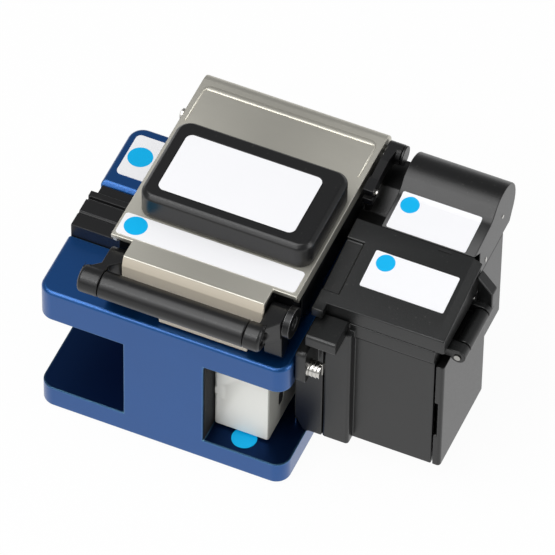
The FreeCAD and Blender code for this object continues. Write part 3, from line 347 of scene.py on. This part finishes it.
def paintHollowShade(tree, shader, shown, look):
    # painted shade: the recess is darker, and it has no glossy coat
    hollow = placeGroup(tree, hollowShadeMask, look["hollow"]).outputs["Mask"]
    bare = mathNode(tree, "SUBTRACT", 1.0, hollow)
    tree.links.new(mathNode(tree, "MULTIPLY", bare, look["coat"]), shader.inputs["Coat Weight"])
    return mixColor(tree, hollow, shown, look["hollowShadeColor"])


def paintEdgeHighlightAndDust(tree, shown, look):
    # painted highlight along the corners, then dust specks on what faces up
    if look["edgeHighlightColor"]:
        edge = placeGroup(tree, cornerMask, {"Width": look["edgeWidth"], "Gain": look["edgeGain"]})
        shown = mixColor(tree, edge.outputs["Mask"], shown, look["edgeHighlightColor"])
    if look["dust"]:
        dust = placeGroup(tree, dustSpecks, {"Amount": look["dust"]})
        shown = mixColor(tree, dust.outputs["Mask"], shown, look["dustColor"])
    return shown


def makeFinish(name, changes):
    look = dict(plainLook, **changes)
    material = bpy.data.materials.new(name)
    material.use_nodes = True
    tree = material.node_tree
    shader = tree.nodes["Principled BSDF"]
    setInputs(shader, {"Metallic": look["metallic"], "Coat Weight": look["coat"], "IOR": look["ior"],
                       "Coat Roughness": look["coatRough"], "Anisotropic": look["anisotropy"]})
    grain = placeGroup(tree, surfaceGrain, {"Stretch": look["stretch"], "Scale": look["grainScale"],
                                            "Detail": look["grainDetail"]})
    shown = paintDotsAndShade(tree, paintPatches(tree, grain, look), look)
    shown = paintSheenZones(tree, shader, shown, look)
    if look["hollow"]:
        shown = paintHollowShade(tree, shader, shown, look)
    tree.links.new(paintEdgeHighlightAndDust(tree, shown, look), shader.inputs["Base Color"])
    spread = mathNode(tree, "MULTIPLY", grain.outputs["Height"], look["roughVary"])
    tree.links.new(mathNode(tree, "ADD", spread, look["rough"] - look["roughVary"] / 2, True),
                   shader.inputs["Roughness"])
    bump = tree.nodes.new("ShaderNodeBump")
    bump.inputs["Distance"].default_value = look["bump"]
    tree.links.new(grain.outputs["Height"], bump.inputs["Height"])
    tree.links.new(bump.outputs["Normal"], shader.inputs["Normal"])
    return material


shades = {   # low corner, high corner and colour of what lies in deeper shade
    "barEnd": ((23, -32, 38), (30, -17.6, 50), linear(3, 3, 3)),
    "railWall": ((10, -27, 6), (10.5, -19, 32), linear(1, 1, 1)),
    "sliderSide": ((23.35, -22, 5), (24, 2, 32), linear(165, 165, 158)),
    "hoodSlope": ((36, 18.6, 45), (58.9, 34, 60), linear(9, 9, 9)),
    "leverTower": ((28, 11, 38), (36.9, 33.4, 50.4), linear(1, 1, 1)),
    "binDoor": ((59.2, -13, 6), (66, 13, 44.5), linear(12, 12, 12)),
}
recess = {"Floor": 7 * mm, "Left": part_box("slide_rail")[0][0], "Roof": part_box("slider_block")[1][2]}
finishes = {
    "blue_anodised": {
        "color": linear(12, 80, 148), "metallic": 0.9, "rough": 0.42, "roughVary": 0.06, "shade": 0.05,
        # painted highlight: light blue along the base's edges
        "edgeHighlightColor": linear(165, 235, 255), "edgeWidth": 0.5 * mm, "edgeGain": 4.0, "grainScale": 6000,
        "bump": 0.004 * mm, "coat": 0.6, "coatRough": 0.22,
        # painted shade in the slider's recess
        "hollow": recess, "hollowShadeColor": linear(8, 36, 76),
    },
    "rubber_pad": {
        "color": linear(28, 28, 29), "rough": 0.75, "bump": 0.05 * mm, "shadeZones": (shades["railWall"],),
    },
    "black_anodised": {
        "color": linear(24, 24, 25), "ior": 1.4, "rough": 0.42, "bump": 0.008 * mm,
        "edgeHighlightColor": linear(70, 70, 72), "shadeZones": (shades["barEnd"],),
    },
    "steel_screws": {"color": linear(205, 203, 198), "metallic": 1.0, "rough": 0.22, "bump": 0.004 * mm},
    "black_screws": {
        "color": linear(30, 30, 31), "metallic": 0.5, "rough": 0.3, "edgeHighlightColor": linear(150, 150, 150),
    },
    "clamp_rubber": {"color": linear(38, 38, 40), "rough": 0.7},
    "ground_steel": {
        "color": linear(165, 164, 160), "metallic": 1.0, "rough": 0.28, "stretch": (1, 0.08, 1),
        "grainScale": 5000, "bump": 0.004 * mm,
    },
    "slider_plastic": {
        "color": linear(246, 246, 239), "rough": 0.4, "shade": 0.03, "bump": 0.01 * mm,
        "shadeZones": (shades["sliderSide"],),
    },
    "blade_carbide": {"color": linear(165, 166, 168), "metallic": 1.0, "rough": 0.18, "bump": 0.003 * mm},
    "black_casting": {
        "color": linear(17, 17, 18), "rough": 0.34, "bump": 0.02 * mm, "grainScale": 2200,
        "edgeHighlightColor": linear(70, 70, 70), "edgeGain": 1.5, "shadeZones": (shades["barEnd"],),
    },
    "bronze": {"color": linear(150, 110, 60), "metallic": 1.0, "rough": 0.35},
    "magnet_plating": {"color": linear(170, 170, 172), "metallic": 1.0, "rough": 0.22},
    "brushed_sheet": {
        "color": linear(214, 211, 200), "metallic": 1.0, "rough": 0.5, "roughVary": 0.12, "shade": 0.04,
        "stretch": (0.05, 1, 1), "grainScale": 5200, "bump": 0.006 * mm, "anisotropy": 0.3,
        # painted sheen: the cover's front face and lower lip take a flat cream colour in place of the metal's
        # reflection
        "edgeHighlightColor": linear(240, 234, 218), "edgeGain": 2.0, "paintedSheenColor": linear(214, 204, 186),
        "plain": (((-16, -26, 38), (29.2, -23.6, 57)),    # the cover's front face
                  ((-16, -26, 38), (29, -10, 43))),       # and its lower lip
    },
    "black_plastic": {
        "color": linear(16, 16, 17), "rough": 0.34, "bump": 0.012 * mm, "dust": 0.04,
        "shadeZones": (shades["barEnd"],),
    },
    "label_film": {
        "color": linear(243, 243, 245), "rough": 0.55, "ior": 1.3, "shade": 0.01, "bump": 0.002 * mm,
        "dots": (
            (-24.8, 17.7, 2.95),      # on the base
            (-11.2, -14.7, 2.7),      # on the cover's front strip
            (41.5, 1.0, 2.2),         # on the lid
            (40.5, 16.8, 2.2),        # on the hood
            (18.3, -21.9, 3.2),       # in the recess
        ),
        "dotColor": linear(0, 178, 236),
    },
    "collector_plastic": {
        "color": linear(20, 21, 21), "ior": 1.52, "rough": 0.34, "bump": 0.02 * mm, "grainScale": 3000,
        "dust": 0.05, "shadeZones": (shades["hoodSlope"], shades["leverTower"], shades["binDoor"]),
    },
    "gear_nylon": {"color": linear(222, 218, 205), "rough": 0.5},
}
materials = {name: makeFinish(name, look) for name, look in finishes.items()}
slotOf = {name: node.material_slots[0].material.name for name, node in nodes.items()}
for name, node in nodes.items():
    node.material_slots[0].material = materials[slotOf[name]]
print("finishes assigned:", len(materials))


def addPiece(name, mesh, body, slot):
    data = bpy.data.meshes.new(name)
    mesh.to_mesh(data)
    mesh.free()
    data.materials.append(materials[slot])
    piece = bpy.data.objects.new(name, data)
    bpy.context.scene.collection.objects.link(piece)
    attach(piece, body)
    return piece


def roundEdges(mesh, edges, width, segments=2):
    bmesh.ops.bevel(mesh, geom=edges, offset=width, affect="EDGES", segments=segments, profile=0.5,
                    material=-1, clamp_overlap=False)


def smoothFaces(mesh):
    for face in mesh.faces:
        face.smooth = True


def evenNormals(piece):
    piece.modifiers.new("evenNormals", "WEIGHTED_NORMAL").keep_sharp = False


def pushOut(mesh, faces, offset):
    # gives faces a thickness and closes the sides
    grown = bmesh.ops.extrude_face_region(mesh, geom=faces)["geom"]
    corners = [part for part in grown if isinstance(part, bmesh.types.BMVert)]
    bmesh.ops.translate(mesh, verts=corners, vec=offset)
    bmesh.ops.recalc_face_normals(mesh, faces=mesh.faces)


def toMetres(mesh):
    bmesh.ops.scale(mesh, verts=mesh.verts, vec=(mm, mm, mm))


roundedNodes = {   # node: width of its rounded edges in millimetres
    "base_frame": 0.3, "adapter_plate": 0.15, "lower_clamp_left": 0.15, "lower_clamp_right": 0.15,
    "hinge_block": 0.25, "arm_body": 0.25, "arm_cover": 0.2, "knob": 0.3, "pull_bar": 0.25,
    "slider_block": 0.25, "blade_carriage": 0.1, "collector_bracket": 0.3, "collector_housing": 0.25,
    "gear_hood": 0.2, "collector_lid": 0.3, "bin_door": 0.25, "feed_lever": 0.15, "thumb_screw": 0.08,
    "bar_sleeve": 0.15, "hinge_pin_cap": 0.1, "bar_pivot_screws": 0.06, "roller_frame": 0.12,
}


def boxOf(node):
    # lowest and highest corner in millimetres
    low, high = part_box(node)
    return Vector(low) / mm, Vector(high) / mm


baseLow, baseHigh = boxOf("base_frame")
railLow, railHigh = boxOf("slide_rail")
sliderLow, sliderHigh = boxOf("slider_block")
lidLow, lidHigh = boxOf("collector_lid")
hoodLow, hoodHigh = boxOf("gear_hood")
coverLow, coverHigh = boxOf("arm_cover")
railZ = (railLow.z + railHigh.z) / 2

rounding = {
    "merge": 0.001,     # corners nearer than this are one
    "flat": 0.6,        # faces that meet at fewer degrees are one
    "sharp": 24,        # edges that turn by more degrees are rounded
}
crisp = {   # how near an edge lies to the neighbour that it seats against
    "railSide": 0.2, "railHalf": 2.6, "lidSeam": 0.75, "hoodLip": 0.05,
}
coverFold = {"from": 2, "to": 3, "depth": 1.3, "forward": 1.4}     # behind and below the cover's front edge
lidEdge = {   # the lid's top edge beside the hood, and where it is found
    "inset": 0.65, "slack": 0.03, "depth": 3.2, "rearward": 0.3,
    "cut": 0.1,                                  # past the hood's side the edge bends away from the seam,
    "cornerSlack": 0.1, "cornerForward": 0.4,    # to a corner that lies further forward
}


def staysCrisp(node, edge):
    # edges that lie close against a neighbour keep their corner
    a, b = (vertex.co / mm for vertex in edge.verts)
    if node == "slider_block":
        return (max(a.x, b.x) < railHigh.x + crisp["railSide"]
                and abs((a.z + b.z) / 2 - railZ) < crisp["railHalf"])
    if node == "collector_lid":
        return min(a.y, b.y) > lidHigh.y - crisp["lidSeam"]
    if node == "gear_hood":
        return max(a.y, b.y) < hoodLow.y + crisp["hoodLip"]
    return False


def foldCover(mesh):
    # the cover's front folds down more steeply
    for vertex in mesh.verts:
        place = vertex.co / mm
        behind = place.y - coverLow.y
        if coverFold["from"] < behind < coverFold["to"] and place.z > coverHigh.z - coverFold["depth"]:
            vertex.co.y -= coverFold["forward"] * mm


def closeLidSeam(mesh):
    # the lid reaches nearer to the hood's lip
    bmesh.ops.bisect_plane(mesh, geom=mesh.verts[:] + mesh.edges[:] + mesh.faces[:],
                           dist=rounding["merge"] * mm, plane_no=(1, 0, 0),
                           plane_co=((hoodHigh.x + lidEdge["cut"]) * mm, 0, 0))
    for vertex in mesh.verts:
        place = vertex.co / mm
        atSeam = abs(place.y - lidHigh.y + lidEdge["inset"]) < lidEdge["slack"]
        if atSeam and place.z > lidHigh.z - lidEdge["depth"]:
            atCorner = place.x > lidHigh.x - lidEdge["cornerSlack"]
            vertex.co.y += (-lidEdge["cornerForward"] if atCorner else lidEdge["rearward"]) * mm


def keepInside(mesh, node):
    # rounding stays inside the part
    low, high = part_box(node)
    for vertex in mesh.verts:
        for axis in range(3):
            vertex.co[axis] = min(max(vertex.co[axis], low[axis]), high[axis])


reshape = {"arm_cover": foldCover, "collector_lid": closeLidSeam}


def roundedCopy(node, width):
    mesh = bmesh.new()
    mesh.from_mesh(nodes[node].data)
    bmesh.ops.remove_doubles(mesh, verts=mesh.verts, dist=rounding["merge"] * mm)
    bmesh.ops.dissolve_limit(mesh, angle_limit=math.radians(rounding["flat"]), use_dissolve_boundaries=False,
                             verts=mesh.verts, edges=mesh.edges)
    if node in reshape:
        reshape[node](mesh)
    sharp = [edge for edge in mesh.edges
             if len(edge.link_faces) == 2 and edge.calc_face_angle() > math.radians(rounding["sharp"])
             and not staysCrisp(node, edge)]
    roundEdges(mesh, sharp, width * mm)
    keepInside(mesh, node)
    smoothFaces(mesh)
    piece = addPiece("finished_" + node, mesh, nodes[node]["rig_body"], slotOf[node])
    evenNormals(piece)
    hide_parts(node)


for node, width in roundedNodes.items():
    roundedCopy(node, width)
print("edges rounded:", len(roundedNodes))


beadLeft = coverLow.x + 1.4
beadRight = coverHigh.x - 1.4
beadRear = coverHigh.y - 5.3
bead = {    # pressed round the cover's rear panel
    "path": ((beadLeft, beadRear - 10.7), (beadLeft, beadRear - 1.1), (beadLeft + 0.4, beadRear - 0.3),
             (beadLeft + 1.2, beadRear), (beadRight - 1.3, beadRear), (beadRight - 0.4, beadRear - 0.3),
             (beadRight, beadRear - 1.1), (beadRight, beadRear - 10.4)),     # x and y of its middle line
    "halfWidth": (0.2, 0.2, 0.4, 0.75, 0.75, 0.4, 0.2, 0.2),     # at each of those points
    "foot": coverHigh.z - 0.02, "height": 0.2, "steps": 8,
}


def beadOutline(look, points, index):
    # half a round, across the bead at one point of its path
    before = points[max(index - 1, 0)]
    after = points[min(index + 1, len(points) - 1)]
    along = (after - before).normalized()
    side = Vector((-along.y, along.x, 0)) * look["halfWidth"][index]
    rise = Vector((0, 0, look["height"]))
    angles = [math.pi * step / look["steps"] for step in range(look["steps"] + 1)]
    return [(points[index] + side * math.cos(angle) + rise * math.sin(angle)) * mm for angle in angles]


def makeBead(look):
    points = [Vector((x, y, look["foot"])) for x, y in look["path"]]
    mesh = bmesh.new()
    end = mesh.faces.new([mesh.verts.new(place) for place in beadOutline(look, points, 0)])
    for index in range(1, len(points)):     # its end is drawn out to the next point
        grown = bmesh.ops.extrude_face_region(mesh, geom=[end] + end.edges[:])["geom"]
        end = [part for part in grown if isinstance(part, bmesh.types.BMFace)][0]
        for vertex, place in zip(end.verts, beadOutline(look, points, index)):
            vertex.co = place
    bmesh.ops.recalc_face_normals(mesh, faces=mesh.faces)
    for face in mesh.faces:     # the ends and the underside stay flat
        above = face.calc_center_median().z > (look["foot"] + look["height"] / 100) * mm
        face.smooth = above and len(face.verts) == 4
    addPiece("pressedBead", mesh, "arm", "brushed_sheet")


makeBead(bead)

lidLabelLow, lidLabelHigh = boxOf("lid_label")
labelShape = {"corner": 0.4, "cornerSegments": 4, "thick": 0.12, "lift": 0.02}
bentLabels = {    # "bend" is where the slope grows from "climb" to "steep", measured from "lipY"
    "hoodLabelFilm": {    # follows the hood's top as it starts to rise
        "node": "hood_label", "body": "base", "x": (hoodLow.x + 1.0, hoodHigh.x - 2.4),
        "y": (hoodLow.y + 0.2, hoodLow.y + 10.1), "lipY": hoodLow.y, "lipZ": hoodLow.z + 10.0,
        "climb": 0.9 / 9.05, "bend": 9.05, "steep": 0.4375, "columns": 12, "rows": 24,
    },
    "lidLabelFilm": {
        "node": "lid_label", "body": "lid", "x": (lidLabelLow.x - 0.1, lidLabelHigh.x + 0.5),
        "y": (lidLabelLow.y - 0.4, lidLabelHigh.y + 0.1), "lipY": lidLabelLow.y, "lipZ": lidLabelLow.z,
        "climb": (lidLabelHigh.z - lidLabelLow.z - 0.15) / (lidLabelHigh.y - lidLabelLow.y),
        "bend": 9.7, "steep": 0.16, "columns": 8, "rows": 4,
    },
}


def makeBentLabel(name, look):
    left, right = look["x"]
    front, rear = look["y"]
    mesh = bmesh.new()
    bmesh.ops.create_grid(mesh, x_segments=look["columns"], y_segments=look["rows"], size=0.5)
    bmesh.ops.scale(mesh, verts=mesh.verts, vec=(right - left, rear - front, 1))
    bmesh.ops.translate(mesh, verts=mesh.verts, vec=((left + right) / 2, (front + rear) / 2, 0))
    corners = [vertex for vertex in mesh.verts if len(vertex.link_edges) == 2]
    bmesh.ops.bevel(mesh, geom=corners, offset=labelShape["corner"], affect="VERTICES",
                    segments=labelShape["cornerSegments"], profile=0.5, material=-1)
    for vertex in mesh.verts:
        along = vertex.co.y - look["lipY"]
        climb = look["climb"] * along + (look["steep"] - look["climb"]) * max(0.0, along - look["bend"])
        vertex.co.z = look["lipZ"] + climb + labelShape["lift"]
    pushOut(mesh, mesh.faces[:], (0, 0, labelShape["thick"]))
    toMetres(mesh)
    piece = addPiece(name, mesh, look["body"], "label_film")
    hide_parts(look["node"])


for name, look in bentLabels.items():
    makeBentLabel(name, look)


def makeProfile(name, look):
    # an outline pushed along one axis, its edges rounded
    def place(across, up, along):
        return Vector((along, across, up) if look["axis"] == "x" else (across, along, up)) * mm

    start, end = look["span"]
    mesh = bmesh.new()
    outline = mesh.faces.new([mesh.verts.new(place(across, up, start)) for across, up in look["outline"]])
    pushOut(mesh, [outline], place(0, 0, end - start))
    if look["round"]:
        roundEdges(mesh, mesh.edges[:], look["round"] * mm)
        smoothFaces(mesh)
    piece = addPiece(name, mesh, look["body"], look["slot"])
    if look["round"]:
        evenNormals(piece)


def stadium(across, up, radius, half, steps=16):
    # outline of an upright slot with round ends
    points = []
    for step in range(steps):
        angle = 2 * math.pi * (step + 0.5) / steps
        reach = half if math.sin(angle) > 0 else -half
        points.append((across + radius * math.cos(angle), up + radius * math.sin(angle) + reach))
    return points


hingeLow, hingeHigh = boxOf("hinge_pin")
hingeY = (hingeLow.y + hingeHigh.y) / 2
hingeZ = (hingeLow.z + hingeHigh.z) / 2
doorPinLow, doorPinHigh = boxOf("door_pin")
doorX = (doorPinLow.x + doorPinHigh.x) / 2
doorZ = (doorPinLow.z + doorPinHigh.z) / 2
lidSlotY = lidHigh.y - 1.1


def block(front, rear, foot, top):
    # outline with four corners
    return (front, foot), (rear, foot), (rear, top), (front, top)


smallPieces = {
    "armSkirt": {      # thin apron under the cover's right edge
        "axis": "x", "span": (coverHigh.x - 0.95, coverHigh.x - 0.6), "round": 0.0,
        "outline": block(coverLow.y + 10.5, hingeY - 1.6, hingeZ - 9.2, hingeZ + 0.6),
        "body": "arm", "slot": "black_plastic",
    },
    "leverTower": {    # closes the space between the arm and the gear hood, under the feed lever
        "axis": "x", "span": (coverHigh.x - 0.45, hoodLow.x - 0.1), "round": 0.25,
        "outline": ((hingeY - 19.1, hingeZ - 14.3), (hingeY - 19.1, hingeZ - 7.1),
                    (hingeY - 12.5, hingeZ - 7.1), (hingeY - 6.5, hingeZ - 3.9),
                    (hingeY + 2.2, hingeZ - 3.9), (hingeY + 2.2, hingeZ - 14.3)),
        "body": "base", "slot": "collector_plastic",
    },
    "leverStopPost": {
        "axis": "x", "span": (coverHigh.x + 0.35, coverHigh.x + 1.45), "round": 0.1,
        "outline": block(hingeY - 12.4, hingeY - 11.0, hingeZ - 8.4, hingeZ - 5.0),
        "body": "base", "slot": "collector_plastic",
    },
    "doorHingeHorn": {    # rises beside the lid's rear right corner from the door's rear lug
        "axis": "y", "span": (doorPinHigh.y - 1.8, doorPinHigh.y + 1.0), "round": 0.3,
        "outline": ((lidHigh.x + 0.15, doorZ + 0.2), (doorX + 1.75, doorZ + 0.2), (doorX + 1.75, doorZ + 5.0),
                    (lidHigh.x + 0.15, doorZ + 9.4)),
        "body": "base", "slot": "collector_plastic",
    },
    "railWallLiner": {    # dark sheet on the wall in front of the rail, painted shade in the recess
        "axis": "x", "span": (railLow.x, railLow.x + 0.15), "round": 0.0,
        "outline": block(baseLow.y + 0.4, railLow.y, sliderLow.z - 0.2, sliderHigh.z - 0.2),
        "body": "base", "slot": "rubber_pad",
    },
    "railEndCap": {    # plastic cap on the rail's front end, level with the slider's front
        "axis": "y", "span": (sliderLow.y + 0.03, railLow.y), "round": 0.0,
        "outline": ((railLow.x + 0.42, railZ - 1.16), (railLow.x + 1.24, railZ - 1.16),
                    (railLow.x + 1.24, railZ - 2.26), (railHigh.x + 0.06, railZ - 2.26),
                    (railHigh.x + 0.06, railZ + 2.26), (railLow.x + 1.24, railZ + 2.26),
                    (railLow.x + 1.24, railZ + 1.16), (railLow.x + 0.42, railZ + 1.16)),
        "body": "base", "slot": "slider_plastic",
    },
    "sliderNotchInsert": {    # dark insert set into the slider's side notch, painted shade of the notch
        "axis": "x", "span": (sliderHigh.x - 1.3, sliderHigh.x - 0.12), "round": 0.0,
        "outline": stadium(sliderLow.y + 7.1, sliderLow.z + 8.0, 1.22, 1.3),
        "body": "slider", "slot": "rubber_pad",
    },
    "lidSlotLiner": {    # dark strip on the lid's rear edge, painted shade standing in for a slot
        "axis": "x", "span": (lidHigh.x - 10.4, lidHigh.x - 7.3), "round": 0.0,
        "outline": block(lidSlotY - 0.28, lidSlotY + 0.28, lidHigh.z - 1.2, lidHigh.z + 0.03),
        "body": "lid", "slot": "rubber_pad",
    },
}
for name, look in smallPieces.items():
    makeProfile(name, look)


pinShape = {"segments": 24, "taper": 0.85}     # the head's outer end is a little narrower
pinHeads = {   # name: body, centre, axis, half width, half height, proud
    "hoodPinUpper": ("base", (hoodHigh.x, hoodLow.y + 16.25, hoodLow.z + 6.4), "x", 0.5, 0.5, 0.12),
    "hoodPinLower": ("base", (hoodHigh.x, hoodLow.y + 6.85, hoodLow.z + 1.9), "x", 0.45, 0.9, 0.12),
    "lidPinEnd": ("lid", (lidHigh.x, lidHigh.y - 5.2, lidLow.z + 2.75), "x", 0.4, 0.4, 0.15),
    "stopPostScrew": ("base", (coverHigh.x + 0.9, hingeY - 11.7, hingeZ - 4.75), "z", 0.5, 0.5, 0.35),
    "stopPin": ("base", (baseHigh.x - 3.1, baseLow.y + 13.4, sliderLow.z + 0.1), "z", 0.35, 0.35, 1.0),
}


def makePinHead(name, body, centre, axis, halfWidth, halfHeight, proud):
    mesh = bmesh.new()
    bmesh.ops.create_cone(mesh, cap_ends=True, segments=pinShape["segments"], radius1=1.0,
                          radius2=pinShape["taper"], depth=2.0)
    turn = Matrix.Rotation(math.radians(90), 4, "Y") if axis == "x" else Matrix.Identity(4)
    size = (proud, halfWidth, halfHeight) if axis == "x" else (halfWidth, halfHeight, proud)
    bmesh.ops.transform(mesh, matrix=turn, verts=mesh.verts)
    bmesh.ops.scale(mesh, verts=mesh.verts, vec=size)
    bmesh.ops.translate(mesh, verts=mesh.verts, vec=centre)
    toMetres(mesh)
    addPiece(name, mesh, body, "steel_screws")


for name, look in pinHeads.items():
    makePinHead(name, *look)


thumbDiscs = {    # polished discs of the thumb screw, measured from its washer
    "discs": ((0.1, 0.95, 1.95), (1.05, 1.9, 1.95), (2.1, 2.5, 1.6)),    # start, end and radius
    "segments": 48, "round": 0.14, "roundSegments": 3,
}


def makeThumbDiscs(look):
    low, high = boxOf("thumb_screw")
    washer = boxOf("thumb_washer")[1].x
    mesh = bmesh.new()
    for start, end, radius in look["discs"]:
        made = bmesh.ops.create_cone(mesh, cap_ends=True, segments=look["segments"], radius1=radius,
                                     radius2=radius, depth=end - start)["verts"]
        bmesh.ops.rotate(mesh, verts=made, matrix=Matrix.Rotation(math.radians(90), 3, "Y"))
        bmesh.ops.translate(mesh, verts=made,
                            vec=(washer + (start + end) / 2, (low.y + high.y) / 2, (low.z + high.z) / 2))
    rims = [edge for edge in mesh.edges if edge.calc_face_angle() > 1]
    roundEdges(mesh, rims, look["round"], look["roundSegments"])
    toMetres(mesh)
    smoothFaces(mesh)
    piece = addPiece("thumbDiscs", mesh, "base", "steel_screws")
    evenNormals(piece)


makeThumbDiscs(thumbDiscs)
print("bead, labels, small pieces, pins and thumb screw made")


studio = {
    "floorSize": 3.0,
    "floorColor": (0.86, 0.86, 0.86, 1.0),
    "floorShade": 0.96,     # share of plain white that the camera and reflections see
    "white": (1.0, 1.0, 1.0, 1.0),
    "worldStrength": 0.3,
    "worldColor": (0.97, 0.98, 1.0, 1.0),
    "lamps": (              # name, place, aim, width, height, watts
        ("overhead", (-0.25, -0.3, 1.0), (0, 0, 0), 0.9, 0.9, 7.4),
        ("front", (-0.25, -0.77, 0.6), (0, 0, 0.03), 0.6, 0.6, 1.5),
        ("strip", (-0.25, -0.586, 0.758), (0, 0, 0.03), 0.9, 0.06, 1.1),
        ("right", (0.9, 0.1, 0.35), (0, 0, 0.03), 0.5, 0.5, 2.6),
    ),
}


def floorFinish(look):
    # lit like paint, but plain white to the camera and in reflections
    material = bpy.data.materials.new("paleFloor")
    material.use_nodes = True
    tree = material.node_tree
    tree.nodes.clear()
    end = tree.nodes.new("ShaderNodeOutputMaterial")
    plain = tree.nodes.new("ShaderNodeBsdfDiffuse")
    plain.inputs["Color"].default_value = look["floorColor"]
    bright = tree.nodes.new("ShaderNodeEmission")
    bright.inputs["Color"].default_value = look["white"]
    path = tree.nodes.new("ShaderNodeLightPath")
    seen = mathNode(tree, "MAXIMUM", path.outputs["Is Camera Ray"], path.outputs["Is Glossy Ray"])
    seen = mathNode(tree, "MAXIMUM", seen, path.outputs["Is Transmission Ray"])
    mix = tree.nodes.new("ShaderNodeMixShader")
    share = mathNode(tree, "MULTIPLY", seen, look["floorShade"])
    feed(tree, mix.inputs, (share, plain.outputs[0], bright.outputs[0]))
    tree.links.new(mix.outputs[0], end.inputs[0])
    return material


def makeFloor(look):
    mesh = bmesh.new()
    bmesh.ops.create_grid(mesh, x_segments=1, y_segments=1, size=look["floorSize"])
    data = bpy.data.meshes.new("floor")
    mesh.to_mesh(data)
    mesh.free()
    floor = bpy.data.objects.new("floor", data)
    bpy.context.scene.collection.objects.link(floor)
    data.materials.append(floorFinish(look))


def makeWorld(look):
    world = bpy.data.worlds.new("room")
    bpy.context.scene.world = world
    world.use_nodes = True
    setInputs(world.node_tree.nodes["Background"],
              {"Color": look["worldColor"], "Strength": look["worldStrength"]})


def makeLamp(name, place, aim, width, height, watts):
    light = bpy.data.lights.new(name, "AREA")
    light.shape = "RECTANGLE"
    light.size = width
    light.size_y = height
    light.energy = watts
    lamp = bpy.data.objects.new(name, light)
    heading = Vector(aim) - Vector(place)
    lamp.matrix_world = Matrix.Translation(place) @ heading.to_track_quat("-Z", "Y").to_matrix().to_4x4()
    bpy.context.scene.collection.objects.link(lamp)


makeFloor(studio)
makeWorld(studio)
for lamp in studio["lamps"]:
    makeLamp(*lamp)
bpy.context.scene.view_settings.view_transform = "Standard"
print("studio lit")
